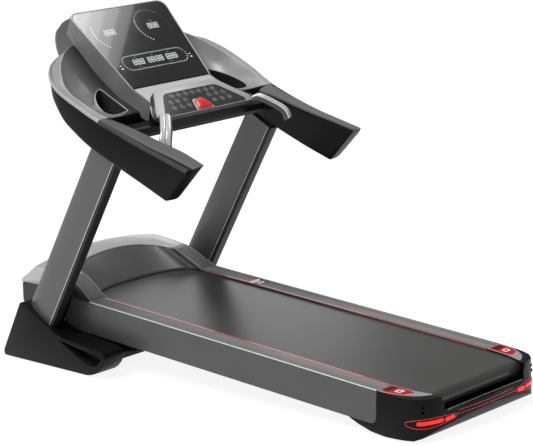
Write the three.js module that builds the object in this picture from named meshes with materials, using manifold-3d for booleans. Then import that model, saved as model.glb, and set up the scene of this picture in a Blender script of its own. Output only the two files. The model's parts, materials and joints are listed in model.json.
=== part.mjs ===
// A motorised treadmill: a powered running deck that tilts about its rear feet, two leaning
// uprights on floor shoes, and a console with handrail arms. Units are millimetres.
// +X is the user's right, +Y points forward to the console, +Z is up, z = 0 is the floor.
import * as THREE from "three";
import { mergeVertices } from "three/addons/utils/BufferGeometryUtils.js";
import Module from "manifold-3d";

const wasm = await Module();
wasm.setup();

// ---------------------------------------------------------------- driving dimensions
const GAP = 0.3; // between pieces that touch

const REAR_Y = -868; // rear end, measured from the deck's reference line
const FRONT_Y = 1142; // front end of the motor cover
const CENTRE_Y = (REAR_Y + FRONT_Y) / 2;

const DECK_SLOPE = THREE.MathUtils.degToRad(3.5); // the running surface rises to the front
const DECK_Z = 203.4; // height of the foot rails' tops at y = 0
const DECK_HALF = 338; // half the width over the side panels
const RAIL_INNER = 260; // half the width between the foot rails
const BELT_HALF = 268;
const BELT_TOP = -7; // all heights in the deck are below the foot rails' tops
const BELT_THICK = 2.5;
const ROLLER_R = 27.5;
const REAR_ROLLER_Y = -793;
const FRONT_ROLLER_Y = 850;
const FRONT_SHAFT_R = 8;
const ROLLER_Z = BELT_TOP - BELT_THICK - GAP - ROLLER_R;
const BOARD_THICK = 18;
const BOARD_TOP = BELT_TOP - BELT_THICK - GAP;
const FRAME_INNER = 273;
const FRAME_WALL = 5;
const FRAME_OUTER = 303;
const REAR_AXLE_R = 6;
const FRAME_TOP = -12.3;
const FRAME_BOTTOM = -80;
const PANEL_BOTTOM = -125;

const DRIVEN_R = 45;
const MOTOR_PULLEY_R = 25;
const MOTOR_Y = 1030;
const MOTOR_Z = -28;
const MOTOR_R = 46;
const PULLEY_X = -293;
const PULLEY_HALF = 9;

const TILT_Y = -760; // the rear feet stand here, and the deck tilts about this floor line
const FOOT_R = 12;

const LIFT_X = 120; // incline actuator
const LIFT_PIN_Y = 1040;
const LIFT_PIN_Z = 45;
const LIFT_LEAN = 0.0175; // sideways part of its axis
const LIFT_PIN_R = 6;
const LIFT_EYE_R = 8.6;

const LEAN = 0.617; // how far an upright leans back for each unit of height
const UPRIGHT_X0 = 385;
const UPRIGHT_X1 = 425;
const UPRIGHT_FOOT_Z = 42.3;
const UPRIGHT_DEPTH = 176; // level depth, trim included
const TRIM_DEPTH = 16;

const SHOE_X0 = 345;
const SHOE_X1 = 450;
const BEAM_X0 = 374;
const BEAM_X1 = 426;
const BEAM_BOTTOM = 12;
const BEAM_TOP = 42;
const WHEEL_Y = 1085;
const WHEEL_Z = 28;
const WHEEL_R = 25;

const GLASS_SLOPE = THREE.MathUtils.degToRad(42.7);
const GLASS_Y = 591;
const GLASS_Z = 1050;
const GLASS_LONG = 386;
const GLASS_HALF_BOTTOM = 198;
const GLASS_HALF_TOP = 243;
const PANEL_SLOPE = THREE.MathUtils.degToRad(25);
const PANEL_Y = 405;
const PANEL_Z = 963;
const PANEL_LONG = 204;

const POCKET_X = 312; // middle of the drink pocket, in plan
const POCKET_Y = 612;
const POCKET_RIM_Z = 1012.6;
const POCKET_DEPTH = 66;
const POCKET_WALL = 3.6;
const POCKET_TILT = THREE.MathUtils.degToRad(25); // its rim rises to the front

// ---------------------------------------------------------------- materials
function finish(colour, roughness, metalness) {
  return new THREE.MeshStandardMaterial({ color: colour, roughness, metalness });
}

const STEEL = finish(0x2c2d30, 0.5, 0.6);
const BRIGHT_STEEL = finish(0xb8babd, 0.3, 0.9);
const UPRIGHT_PAINT = finish(0x55565a, 0.4, 0.5);
const PANEL_PAINT = finish(0x47484b, 0.45, 0.4);
const RAIL_GREY = finish(0x8e8e8a, 0.6, 0.1);
const BLACK_PLASTIC = finish(0x18181a, 0.5, 0);
const DARK_GREY = finish(0x3c3d40, 0.5, 0.1);
const MID_GREY = finish(0x6e6f72, 0.5, 0.1);
const LIGHT_GREY = finish(0xa4a5a8, 0.45, 0.2);
const SILVER = finish(0xc4c5c8, 0.35, 0.6);
const RUBBER = finish(0x202022, 0.8, 0);
const BELT_BLACK = finish(0x363634, 0.75, 0);
const GLASS = finish(0x0b0c0e, 0.08, 0);
const RED = finish(0xd0201c, 0.35, 0);
const BOARD = finish(0x5a4632, 0.8, 0);
const CIRCUIT = finish(0x1c4a32, 0.5, 0);

// ---------------------------------------------------------------- geometry helpers
function volumeOf(position, index) {
  const a = new THREE.Vector3();
  const b = new THREE.Vector3();
  const c = new THREE.Vector3();
  let sum = 0;
  for (let i = 0; i < index.length; i += 3) {
    a.fromBufferAttribute(position, index[i]);
    b.fromBufferAttribute(position, index[i + 1]);
    c.fromBufferAttribute(position, index[i + 2]);
    sum += a.dot(b.cross(c));
  }
  return sum / 6;
}

// A three.js geometry as a solid that can be joined and cut, facing outwards.
function solid(geometry) {
  const bare = geometry.clone();
  bare.deleteAttribute("normal");
  bare.deleteAttribute("uv");
  const merged = mergeVertices(bare, 1e-3);
  const index = new Uint32Array(merged.index.array);
  if (volumeOf(merged.attributes.position, index) < 0) {
    for (let i = 0; i < index.length; i += 3) {
      [index[i + 1], index[i + 2]] = [index[i + 2], index[i + 1]];
    }
  }
  const mesh = new wasm.Mesh({
    numProp: 3,
    vertProperties: merged.attributes.position.array,
    triVerts: index,
  });
  return new wasm.Manifold(mesh);
}

function join(...pieces) {
  return pieces.reduce((sum, piece) => sum.add(piece));
}

function cut(body, ...tools) {
  return tools.reduce((rest, tool) => rest.subtract(tool), body);
}

// The biggest of the bodies that a cut leaves.
function largest(body) {
  return body.decompose().reduce((big, one) => (one.volume() > big.volume() ? one : big));
}

function box(x0, x1, y0, y1, z0, z1) {
  const geometry = new THREE.BoxGeometry(x1 - x0, y1 - y0, z1 - z0);
  return solid(geometry.translate((x0 + x1) / 2, (y0 + y1) / 2, (z0 + z1) / 2));
}

function shapeOf(points) {
  return new THREE.Shape(points.map(([u, v]) => new THREE.Vector2(u, v)));
}

function extruded(shape, depth, curveSegments = 6) {
  return new THREE.ExtrudeGeometry(shape, { depth, bevelEnabled: false, curveSegments });
}

// An outline in (y, z) carried from x0 to x1.
function alongX(points, x0, x1) {
  const turn = new THREE.Matrix4().set(0, 0, 1, x0, 1, 0, 0, 0, 0, 1, 0, 0, 0, 0, 0, 1);
  return solid(extruded(shapeOf(points), x1 - x0).applyMatrix4(turn));
}

// An outline in (x, y) carried from z0 to z1.
function alongZ(points, z0, z1) {
  return solid(extruded(shapeOf(points), z1 - z0).translate(0, 0, z0));
}

// An outline in (x, z) carried from y0 to y1.
function alongY(points, y0, y1) {
  const turn = new THREE.Matrix4().set(1, 0, 0, 0, 0, 0, 1, y0, 0, 1, 0, 0, 0, 0, 0, 1);
  return solid(extruded(shapeOf(points), y1 - y0).applyMatrix4(turn));
}

// A round body turned about the X axis; the profile is a list of [radius, x].
function turnedX(profile, y, z, segments = 28) {
  const points = profile.map(([r, x]) => new THREE.Vector2(r, x));
  const geometry = new THREE.LatheGeometry(points, segments).rotateZ(-Math.PI / 2);
  return solid(geometry.translate(0, y, z));
}

function rod(radius, x0, x1, y, z, segments = 20) {
  return turnedX([[0, x0], [radius, x0], [radius, x1], [0, x1]], y, z, segments);
}

// A closed body through rings of equal point count; the first ring's outline closes the ends.
function loft(rings, capOutline) {
  const count = capOutline.length;
  const caps = THREE.ShapeUtils.triangulateShape(
    capOutline.map(([u, v]) => new THREE.Vector2(u, v)), []);
  const clockwise = THREE.ShapeUtils.isClockWise(
    capOutline.map(([u, v]) => new THREE.Vector2(u, v)));
  const positions = [];
  const index = [];
  for (const ring of rings) {
    for (const p of ring) positions.push(p.x, p.y, p.z);
  }
  for (let r = 0; r + 1 < rings.length; r += 1) {
    for (let i = 0; i < count; i += 1) {
      const a = r * count + i;
      const b = r * count + ((i + 1) % count);
      if (clockwise) index.push(a, a + count, b, b, a + count, b + count);
      else index.push(a, b, a + count, b, b + count, a + count);
    }
  }
  const last = (rings.length - 1) * count;
  for (const [a, b, c] of caps) {
    index.push(a, c, b);
    index.push(last + a, last + b, last + c);
  }
  const geometry = new THREE.BufferGeometry();
  geometry.setAttribute("position", new THREE.Float32BufferAttribute(positions, 3));
  geometry.setIndex(index);
  return solid(geometry);
}

function vector([x, y, z]) {
  return new THREE.Vector3(x, y, z);
}

// A bar along a path: each ring lies across the path, with its width along the side vector.
function bar(path, side, outline) {
  const rings = path.map((point, i) => {
    const before = path[Math.max(i - 1, 0)];
    const after = path[Math.min(i + 1, path.length - 1)];
    const tangent = vector(after).sub(vector(before)).normalize();
    const up = new THREE.Vector3().crossVectors(tangent, side).normalize();
    return outline.map(([u, v]) =>
      vector(point).addScaledVector(side, u).addScaledVector(up, v));
  });
  return loft(rings, outline);
}

function ellipse(halfWide, halfHigh, count) {
  const points = [];
  for (let i = 0; i < count; i += 1) {
    const angle = (2 * Math.PI * i) / count;
    points.push([halfWide * Math.cos(angle), halfHigh * Math.sin(angle)]);
  }
  return points;
}

// The loop of a flat belt of the given outer offset round two wheels in the (y, z) plane.
function loopOutline(y0, z0, r0, y1, z1, r1, offset, steps = 12) {
  const along = Math.atan2(z1 - z0, y1 - y0);
  const reach = Math.hypot(y1 - y0, z1 - z0);
  const open = Math.acos((r0 - r1) / reach);
  const points = [];
  for (let i = 0; i <= steps; i += 1) {
    const angle = along + open + ((2 * Math.PI - 2 * open) * i) / steps;
    points.push([y0 + (r0 + offset) * Math.cos(angle), z0 + (r0 + offset) * Math.sin(angle)]);
  }
  for (let i = 0; i <= steps; i += 1) {
    const angle = along - open + (2 * open * i) / steps;
    points.push([y1 + (r1 + offset) * Math.cos(angle), z1 + (r1 + offset) * Math.sin(angle)]);
  }
  return points;
}

// A body as a mesh, with its tiniest edges closed up.
function geometryOf(body) {
  const mesh = body.getMesh();
  const raw = new THREE.BufferGeometry();
  raw.setAttribute("position", new THREE.BufferAttribute(mesh.vertProperties, 3));
  raw.setIndex(new THREE.BufferAttribute(mesh.triVerts, 1));
  const geometry = mergeVertices(raw, 0.01);
  const corners = geometry.index.array;
  const kept = [];
  for (let i = 0; i < corners.length; i += 3) {
    const [p, q, r] = corners.slice(i, i + 3);
    if (p !== q && q !== r && r !== p) kept.push(p, q, r);
  }
  geometry.setIndex(kept);
  geometry.computeVertexNormals();
  return geometry;
}

function piece(group, name, body, material) {
  const mesh = new THREE.Mesh(geometryOf(body), material);
  mesh.name = name;
  group.add(mesh);
}

// ---------------------------------------------------------------- groups
const treadmill = new THREE.Group();
const machine = new THREE.Group();
machine.position.y = -CENTRE_Y;
treadmill.add(machine);

const deck = new THREE.Group();
deck.position.z = DECK_Z;
deck.rotation.x = DECK_SLOPE;
machine.add(deck);

const glassGroup = new THREE.Group();
glassGroup.position.set(0, GLASS_Y, GLASS_Z);
glassGroup.rotation.x = GLASS_SLOPE;
machine.add(glassGroup);

const panelGroup = new THREE.Group();
panelGroup.position.set(0, PANEL_Y, PANEL_Z);
panelGroup.rotation.x = PANEL_SLOPE;
machine.add(panelGroup);

// Pieces made for the right side (+X) are mirrored for the left side.
const SIDES = ["right", "left"].map((side) => {
  const mirror = side === "left" ? -1 : 1;
  const onFloor = new THREE.Group();
  onFloor.scale.x = mirror;
  machine.add(onFloor);
  const onDeck = new THREE.Group();
  onDeck.scale.x = mirror;
  deck.add(onDeck);
  return { side, onFloor, onDeck };
});

// A floor-frame height as a height in the deck's tilted frame, at a floor-frame y.
function inDeck(y, z) {
  const up = z - DECK_Z;
  return [
    y * Math.cos(DECK_SLOPE) + up * Math.sin(DECK_SLOPE),
    up * Math.cos(DECK_SLOPE) - y * Math.sin(DECK_SLOPE),
  ];
}

// A body made in floor coordinates, moved into the deck's tilted frame.
function toDeck(body) {
  const turn = new THREE.Matrix4().makeRotationX(-DECK_SLOPE);
  const drop = new THREE.Matrix4().makeTranslation(0, 0, -DECK_Z);
  return body.transform(turn.multiply(drop).toArray());
}

// A body made in a sloping face's frame, moved into floor coordinates.
function toFloor(body, slope, y, z) {
  const turn = new THREE.Matrix4().makeRotationX(slope);
  turn.setPosition(0, y, z);
  return body.transform(turn.toArray());
}

// ---------------------------------------------------------------- floor frame and uprights
function wheelFork() {
  const plate = [[1030, BEAM_BOTTOM], [1098, BEAM_BOTTOM], [1098, BEAM_TOP], [1030, BEAM_TOP]];
  return join(
    alongX(plate, BEAM_X0, BEAM_X0 + 6),
    alongX(plate, BEAM_X1 - 6, BEAM_X1),
    rod(5, BEAM_X0 + 1, BEAM_X1 - 1, WHEEL_Y, WHEEL_Z));
}

function sideBeam() {
  const tube = cut(
    box(BEAM_X0, BEAM_X1, 660, 1045, BEAM_BOTTOM, BEAM_TOP),
    box(BEAM_X0 + 3, BEAM_X1 - 3, 655, 1050, BEAM_BOTTOM + 3, BEAM_TOP - 3));
  return join(tube, wheelFork());
}

function clevis() {
  const ear = [[1000, 20], [1040, 25], [1056, 33], [1056, 57], [1040, 63], [1000, 55]];
  return join(
    alongX(ear, LIFT_X - 21, LIFT_X - 14),
    alongX(ear, LIFT_X + 14, LIFT_X + 21),
    rod(LIFT_PIN_R, LIFT_X - 24, LIFT_X + 24, LIFT_PIN_Y, LIFT_PIN_Z));
}

// A channel across the floor frame, open below.
function floorChannel(y0, y1, z0, z1) {
  return cut(
    box(-BEAM_X0 - 1, BEAM_X0 + 1, y0, y1, z0, z1),
    box(-BEAM_X0 + 4, BEAM_X0 - 4, y0 + 3, y1 - 3, z0 - 5, z1 - 3));
}

function baseFrame() {
  const beam = sideBeam();
  return join(
    beam, beam.mirror([1, 0, 0]),
    floorChannel(960, 1005, 15, 55), floorChannel(690, 730, 14, 40), clevis());
}

// The upright's outline across X and along its level depth: flat rear, half-round front.
function uprightOutline(inset) {
  const half = (UPRIGHT_X1 - UPRIGHT_X0) / 2;
  const middle = (UPRIGHT_X1 + UPRIGHT_X0) / 2;
  const shoulder = 90;
  const nose = UPRIGHT_DEPTH - shoulder;
  const points = [[middle + half - inset, TRIM_DEPTH + GAP + inset]];
  for (let i = 0; i <= 10; i += 1) {
    const angle = (Math.PI * i) / 10;
    points.push([
      middle + (half - inset) * Math.cos(angle),
      shoulder + (nose - inset) * Math.sin(angle),
    ]);
  }
  points.push([middle - half + inset, TRIM_DEPTH + GAP + inset]);
  return points;
}

// Rear face of the upright's trim at a height, before the lean.
function uprightRearY(z) {
  return 867 - LEAN * (z - 159);
}

// A leaning column between a floor-level cut and the underside of the arm.
function leaningColumn(outline, z0, underArm) {
  const foot = outline.map(([x, depth]) => new THREE.Vector3(x, uprightRearY(z0) + depth, z0));
  const head = outline.map(([x, depth]) => {
    const [armY, armZ, armRise] = underArm;
    const rise = (armZ + armRise * (uprightRearY(0) + depth - armY)) / (1 + armRise * LEAN);
    return new THREE.Vector3(x, uprightRearY(rise) + depth, rise);
  });
  return loft([foot, head], outline);
}

const UNDER_ARM = [450, 812, 0.53]; // y, z and slope of the arm's underside over the upright

function upright() {
  return cut(
    leaningColumn(uprightOutline(0), UPRIGHT_FOOT_Z, UNDER_ARM),
    leaningColumn(uprightOutline(2.5), UPRIGHT_FOOT_Z - 20, [450, 840, 0.53]),
    box(BEAM_X0, BEAM_X1, WHEEL_Y - WHEEL_R - 12, WHEEL_Y + WHEEL_R + 12, 30, 60));
}

function uprightTrim() {
  const outline = [
    [UPRIGHT_X0, 3], [UPRIGHT_X0 + 3, 0], [UPRIGHT_X1 - 3, 0],
    [UPRIGHT_X1, 3], [UPRIGHT_X1, TRIM_DEPTH], [UPRIGHT_X0, TRIM_DEPTH],
  ];
  return leaningColumn(outline, 136, UNDER_ARM);
}

function shoeOutline(inset) {
  const i = inset;
  return [
    [1134 - i, 4 - 4 * i], [1139 - i, 22], [1024 - i, 228 - i], [1017, 231 - i],
    [835, 131 - i], [700, 119 - i], [590, 109 - i], [569 + i, 100 - i], [561 + i, 86],
    [573 + i, 52], [606 + i, 20 - 2 * i], [652 + i, 4 - 4 * i],
  ];
}

function shoe() {
  const column = uprightOutline(-GAP);
  const channel = leaningColumn(column, -20, UNDER_ARM);
  const trimChannel = leaningColumn(
    [[UPRIGHT_X0 - GAP, -GAP], [UPRIGHT_X1 + GAP, -GAP], [UPRIGHT_X1 + GAP, 30], [UPRIGHT_X0 - GAP, 30]],
    100, UNDER_ARM);
  return cut(
    alongX(shoeOutline(0), SHOE_X0, SHOE_X1),
    alongX(shoeOutline(4), SHOE_X0 + 4, SHOE_X1 - 4),
    box(SHOE_X0 - 5, SHOE_X0 + 10, 650, 1070, -5, 62),
    channel, trimChannel);
}

function floorPad() {
  return box(BEAM_X0, BEAM_X1, 670, 1030, 0, BEAM_BOTTOM - GAP);
}

function transportWheel() {
  const half = 17;
  const x = (BEAM_X0 + BEAM_X1) / 2;
  const profile = [
    [5.8, x - half], [18, x - half], [WHEEL_R, x - half + 5],
    [WHEEL_R, x + half - 5], [18, x + half], [5.8, x + half], [5.8, x - half],
  ];
  return turnedX(profile, WHEEL_Y, WHEEL_Z);
}

// ---------------------------------------------------------------- arms
// Stations from the open rear end forward: [x, y, z] of the top outer, top inner, bottom inner
// and bottom outer corners.
const ARM = [
  [[459, 72, 851], [397, 46, 866], [400, 184, 725], [457, 192, 726]],
  [[454, 160, 875], [383, 150, 894], [392, 280, 762], [458, 285, 765]],
  [[450, 260, 901], [381, 250, 916], [390, 370, 797], [459, 372, 800]],
  [[449, 360, 932], [381, 355, 942], [390, 450, 829], [459, 452, 832]],
  [[450, 440, 960], [381, 438, 961], [390, 522, 858], [459, 524, 860]],
  [[455, 502, 982], [383, 502, 973], [391, 566, 878], [459, 568, 880]],
  [[460, 550, 1003], [389, 550, 989], [392, 602, 898], [459, 604, 900]],
  [[465, 600, 1027], [396, 600, 1008], [396, 640, 921], [459, 640, 923]],
  [[468, 660, 1055], [402, 660, 1035], [398, 690, 958], [460, 690, 960]],
  [[464, 716, 1083], [400, 716, 1066], [396, 722, 1002], [459, 724, 1004]],
  [[444, 768, 1114], [388, 752, 1098], [386, 748, 1040], [446, 758, 1042]],
  [[404, 812, 1144], [360, 786, 1126], [360, 784, 1074], [404, 798, 1076]],
  [[345, 842, 1165], [330, 812, 1150], [330, 812, 1104], [345, 828, 1106]],
  [[262, 864, 1178], [262, 834, 1166], [262, 834, 1124], [262, 850, 1126]],
];
const COVER = 7; // thickness of the covers on top of an arm
const JOINT = 5; // station where the grip pad meets the grey cover

// A ring of an arm: its four corners, each cut off a little.
function armRing(corners, topDrop, inset, topRaise) {
  const [to, ti, bi, bo] = corners.map(vector);
  const centre = to.clone().add(ti).add(bi).add(bo).multiplyScalar(0.25);
  const down = bo.clone().sub(to).normalize();
  to.addScaledVector(down, topDrop - topRaise);
  ti.addScaledVector(down, topDrop - topRaise);
  const loop = [to, ti, bi, bo];
  const ring = [];
  loop.forEach((corner, i) => {
    const before = loop[(i + 3) % 4];
    const after = loop[(i + 1) % 4];
    ring.push(corner.clone().lerp(before, 8 / corner.distanceTo(before)));
    ring.push(corner.clone().lerp(after, 8 / corner.distanceTo(after)));
  });
  return ring.map((p) => {
    const inward = centre.clone().sub(p);
    return p.addScaledVector(inward.normalize(), inset);
  });
}

const ARM_CAP = ellipse(1, 1, 8);

function armShell() {
  const outer = loft(ARM.map((s) => armRing(s, COVER, 0, 0)), ARM_CAP);
  const inner = loft(ARM.slice(1, 10).map((s) => armRing(s, COVER, 5, 0)), ARM_CAP);
  const slot = loft(ARM.slice(2, 10).map((s) => armRing(s, COVER, 18, 30)), ARM_CAP);
  return cut(outer, inner, slot);
}

// The strip between two heights below the arm's top surface, over some of its stations.
function armCover(first, last, top, bottom, widen) {
  const rings = ARM.slice(first, last + 1).map((corners) => {
    const [to, ti, , bo] = corners.map(vector);
    const down = bo.clone().sub(to).normalize();
    const across = ti.clone().sub(to).normalize();
    const outer = to.clone().addScaledVector(across, -widen);
    const inner = ti.clone().addScaledVector(across, widen);
    const mid = outer.clone().lerp(inner, 0.5).addScaledVector(down, top - 4);
    return [
      outer.clone().addScaledVector(down, bottom),
      outer.clone().addScaledVector(down, top + 2),
      outer.clone().lerp(inner, 0.15).addScaledVector(down, top - 2),
      mid,
      outer.clone().lerp(inner, 0.85).addScaledVector(down, top - 2),
      inner.clone().addScaledVector(down, top + 2),
      inner.clone().addScaledVector(down, bottom),
    ];
  });
  return loft(rings, [[0, 0], [0, 5], [2, 7], [5, 8], [8, 7], [10, 5], [10, 0]]);
}

function gripPad() {
  return largest(cut(armCover(0, JOINT, 0, COVER, -3), armClearance()));
}

// Half the console's width at a y, outside its side walls.
function consoleHalf(y) {
  return 207 + (0.112 * (y - 510));
}

// The grey cover that spreads from the arm to the console's side, like a shallow bowl.
const BOWL_ROWS = [
  [455, 505, 984, 992, 556], [460, 552, 1005, 1003, 578], [465, 600, 1029, 1019, 608],
  [468, 660, 1057, 1040, 652], [464, 716, 1085, 1068, 700], [444, 768, 1116, 1100, 745],
  [404, 812, 1146, 1128, 785], [345, 842, 1167, 1152, 820], [300, 856, 1175, 1166, 842],
];
const BOWL_COLUMNS = 8;
const BOWL_DIP = 16;

function bowlPoint(row, across, drop) {
  const [rimX, rimY, rimZ, wallZ, wallY] = row;
  const wallX = consoleHalf(wallY) + 4;
  const dip = BOWL_DIP * Math.sin(Math.PI * across);
  return new THREE.Vector3(
    rimX + (wallX - rimX) * across,
    rimY + (wallY - rimY) * across,
    rimZ + (wallZ - rimZ) * across - dip - drop);
}

function armTop() {
  const thick = 4;
  const cap = [];
  const columns = [];
  for (let j = 0; j <= BOWL_COLUMNS; j += 1) {
    columns.push(j / BOWL_COLUMNS);
  }
  columns.forEach((across) => cap.push([across, 1]));
  [...columns].reverse().forEach((across) => cap.push([across, 0]));
  const rings = BOWL_ROWS.map((row) => [
    ...columns.map((across) => bowlPoint(row, across, 0)),
    ...[...columns].reverse().map((across) => bowlPoint(row, across, thick)),
  ]);
  const pocket = pocketBlank(POCKET_WALL + GAP, -90, 60);
  return largest(cut(loft(rings, cap), pocket, armClearance()));
}

// What the covers must leave free: the arm's black shell below them.
function armClearance() {
  const [before, last] = ARM.slice(-2);
  const beyond = last.map((corner, i) => corner.map((v, axis) => v + (v - before[i][axis]) * 0.3));
  return loft([...ARM, beyond].map((s) => armRing(s, COVER - 0.5, -0.5, 0)), ARM_CAP);
}

// The drink pocket's plan: straight beside the console, straight in front and round outside.
const POCKET = [
  [267, 552], [267, 697], [291, 688], [318, 667], [341, 640], [357, 612], [366, 585], [367, 562],
  [354, 546], [319, 543],
];

// The pocket's outline, grown outward and set above its sloping rim.
function pocketRing(grow, height) {
  return POCKET.map(([x, y]) => {
    const reach = Math.hypot(x - POCKET_X, y - POCKET_Y);
    const scale = (reach + grow) / reach;
    const onY = POCKET_Y + (y - POCKET_Y) * scale;
    const rimZ = POCKET_RIM_Z + Math.tan(POCKET_TILT) * (onY - POCKET_Y);
    return new THREE.Vector3(
      POCKET_X + (x - POCKET_X) * scale,
      onY - height * Math.sin(POCKET_TILT),
      rimZ + height * Math.cos(POCKET_TILT));
  });
}

function pocketBlank(grow, low, high) {
  return loft([pocketRing(grow, low), pocketRing(grow, high)], POCKET);
}

function cupHolder() {
  const outer = loft([
    pocketRing(POCKET_WALL - 9, -POCKET_DEPTH), pocketRing(POCKET_WALL, -POCKET_DEPTH + 9),
    pocketRing(POCKET_WALL, 2),
  ], POCKET);
  const inner = loft([
    pocketRing(-9, -POCKET_DEPTH + 3), pocketRing(0, -POCKET_DEPTH + 11), pocketRing(0, 10),
  ], POCKET);
  return cut(outer, inner);
}

// A grip runs from its socket under the control panel towards the arm's inner side.
function pulseGrip(grow = 0) {
  const path = [
    [239, 413, 949], [245, 402, 954], [253, 388, 959], [267, 368, 958], [285, 343, 950],
    [303, 320, 934], [317, 308, 914], [325, 303, 888],
  ];
  const side = new THREE.Vector3(0.88, 0.46, 0).normalize();
  return bar(path, side, ellipse(15 + grow, 7.5 + grow, 12));
}

function consoleCrossbar() {
  return cut(box(-371, 371, 450, 490, 911, 941), box(-375, 375, 453, 487, 914, 938));
}

// ---------------------------------------------------------------- console
function consoleOutline(grow) {
  const top = GLASS_LONG + grow;
  const half = (v) => GLASS_HALF_BOTTOM + ((GLASS_HALF_TOP - GLASS_HALF_BOTTOM) * v) / GLASS_LONG;
  const corner = 34;
  const outline = [[-half(0) - grow, 0], [half(0) + grow, 0]];
  for (let i = 0; i <= 5; i += 1) {
    const angle = (Math.PI / 2) * (i / 5);
    outline.push([
      half(top - corner) + grow - corner + corner * Math.cos(angle),
      top - corner + corner * Math.sin(angle),
    ]);
  }
  for (let i = 5; i >= 0; i -= 1) {
    const angle = (Math.PI / 2) * (i / 5);
    outline.push([
      -half(top - corner) - grow + corner - corner * Math.cos(angle),
      top - corner + corner * Math.sin(angle),
    ]);
  }
  return outline;
}

const FRAME_DEPTH = 64; // of the grey wall round the screen

function consoleFrame() {
  const ring = cut(
    alongZ(consoleOutline(5), -FRAME_DEPTH, -1),
    alongZ(consoleOutline(GAP).map(([x, y]) => [x, y < 1 ? -5 : y]), -FRAME_DEPTH - 5, 5));
  const wing = alongX([
    [600, 1056], [591, 1049], [540, 1026], [508, 1010], [499, 1000], [497, 986], [508, 946],
    [514, 938], [524, 937], [564, 951], [610, 974], [640, 998],
  ], GLASS_HALF_BOTTOM + 1, GLASS_HALF_BOTTOM + 5);
  return join(toFloor(ring, GLASS_SLOPE, GLASS_Y, GLASS_Z), wing, wing.mirror([1, 0, 0]));
}

function screenTrim() {
  return cut(
    alongZ(consoleOutline(5), -1 + GAP, 1.5),
    alongZ(consoleOutline(0).map(([x, y]) => [x, y < 1 ? 3 : y]), -5, 5));
}

function screenGlass() {
  return alongZ(consoleOutline(-GAP).map(([x, y]) => [x, y < 1 ? 3.3 : y]), -4, 0);
}

function displayBoard() {
  const chips = [];
  for (const x of [-110, 0, 110]) {
    chips.push(box(x - 40, x + 40, 60, 110, -14, -7.5));
  }
  return join(box(-180, 180, 30, 330, -16, -13), ...chips);
}

// The control panel widens to two ears at its front.
const PANEL_EDGE = [
  [240, 0], [252, 3], [259, 12], [260, 26], [252, 42], [226, 80], [200, 101], [196, 106],
];
const PANEL_THICK = 3;

function controlPanel() {
  const mirrored = [...PANEL_EDGE].reverse().map(([x, y]) => [-x, y]);
  const outline = [...PANEL_EDGE, [196, PANEL_LONG], [-196, PANEL_LONG], ...mirrored];
  return cut(alongZ(outline, -PANEL_THICK, 0), alongZ(keypadOutline(GAP), -1.5, 1), keySlot(GAP));
}

// The block under an ear of the control panel, with the socket of a pulse grip.
function earBlock() {
  const edge = PANEL_EDGE.slice(1, 6).map(([x, y]) => [x - 5, y + 1]);
  const block = alongZ([[180, 1], [232, 1], ...edge, [180, 80]], -16, -PANEL_THICK - GAP);
  return cut(toFloor(block, PANEL_SLOPE, PANEL_Y, PANEL_Z), pulseGrip(GAP));
}

function keypadOutline(grow) {
  const g = grow;
  return [
    [-196 - g, 12 - g], [196 + g, 12 - g], [203 + g, 18], [200 + g, 28], [136 + g, 112],
    [124, 118 + g], [-124, 118 + g], [-136 - g, 112], [-200 - g, 28], [-203 - g, 18],
  ];
}

function keySlot(grow) {
  return box(-11 - grow, 11 + grow, 14 - grow, 26 + grow, -20, 5);
}

function keypad() {
  return cut(alongZ(keypadOutline(0), -1.2, 0.8), keySlot(GAP));
}

function safetyKey() {
  const cap = [[-32, 2], [32, 2], [20, 40], [-20, 40]];
  const top = alongZ(cap, 1.1, 11);
  const thumb = box(-12, 12, 24, 45, 7, 14);
  return join(cut(top, thumb), box(-11, 11, 14, 26, -12, 2));
}

// Under the control panel and between the arms.
function consoleLower() {
  const rise = Math.tan(PANEL_SLOPE);
  const topAt = (y) => PANEL_Z + rise * (y - PANEL_Y) - 3.8;
  const middle = alongX([
    [424, 904], [410, 925], [406, topAt(406)], [586, topAt(586)], [640, 1040], [650, 940], [560, 906],
  ], -196, 196);
  const hollow = alongX([
    [430, 909], [415, 930], [412, topAt(412) - 4], [582, topAt(582) - 5], [660, 1036], [670, 930],
    [560, 911],
  ], -191, 191);
  const shoulders = alongX(
    [[424, 904], [414, 918], [414, 940], [425, 945], [500, 945], [560, 906]], -378, 378);
  const cheeks = alongX(
    [[428, 908], [418, 922], [418, 938], [427, 941.6], [498, 941.6], [550, 908]], -373, 373);
  const shell = cut(join(middle, shoulders), hollow, cheeks);
  const ears = [earBlock(), earBlock().mirror([1, 0, 0])];
  const wingRoom = [-1, 1].map((s) => box(s * 201.5 - 3.5, s * 201.5 + 3.5, 494, 700, 932, 1080));
  return cut(join(shell, ...ears), ...wingRoom, toFloor(keySlot(1), PANEL_SLOPE, PANEL_Y, PANEL_Z));
}

function consoleBack() {
  const outer = [
    [923, 1267], [950, 1272], [978, 1254], [998, 1222], [1003, 1185], [997, 1144],
    [970, 1098], [900, 1046], [800, 1000], [700, 966], [660, 952], [646, 1012],
  ];
  const inner = [
    [915, 1280], [947, 1267], [973, 1250], [993, 1220], [998, 1185], [992, 1147],
    [966, 1102], [897, 1051], [798, 1005], [698, 971], [645, 953], [620, 1040],
  ];
  return cut(alongX(outer, -197, 197), alongX(inner, -192, 192));
}

// ---------------------------------------------------------------- running deck
function frameRail() {
  const tube = cut(
    box(FRAME_INNER, FRAME_OUTER, -700, 795, FRAME_BOTTOM, FRAME_TOP),
    box(FRAME_INNER + 3, FRAME_OUTER - 3, -705, 800, FRAME_BOTTOM + 3, FRAME_TOP - 3));
  const plate = box(FRAME_INNER, FRAME_INNER + FRAME_WALL, -804, 1060, FRAME_BOTTOM, FRAME_TOP);
  const foot = box(FRAME_INNER, FRAME_OUTER - 4, -785, -695, FRAME_BOTTOM, FRAME_BOTTOM + 4);
  return join(tube, plate, foot);
}

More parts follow.
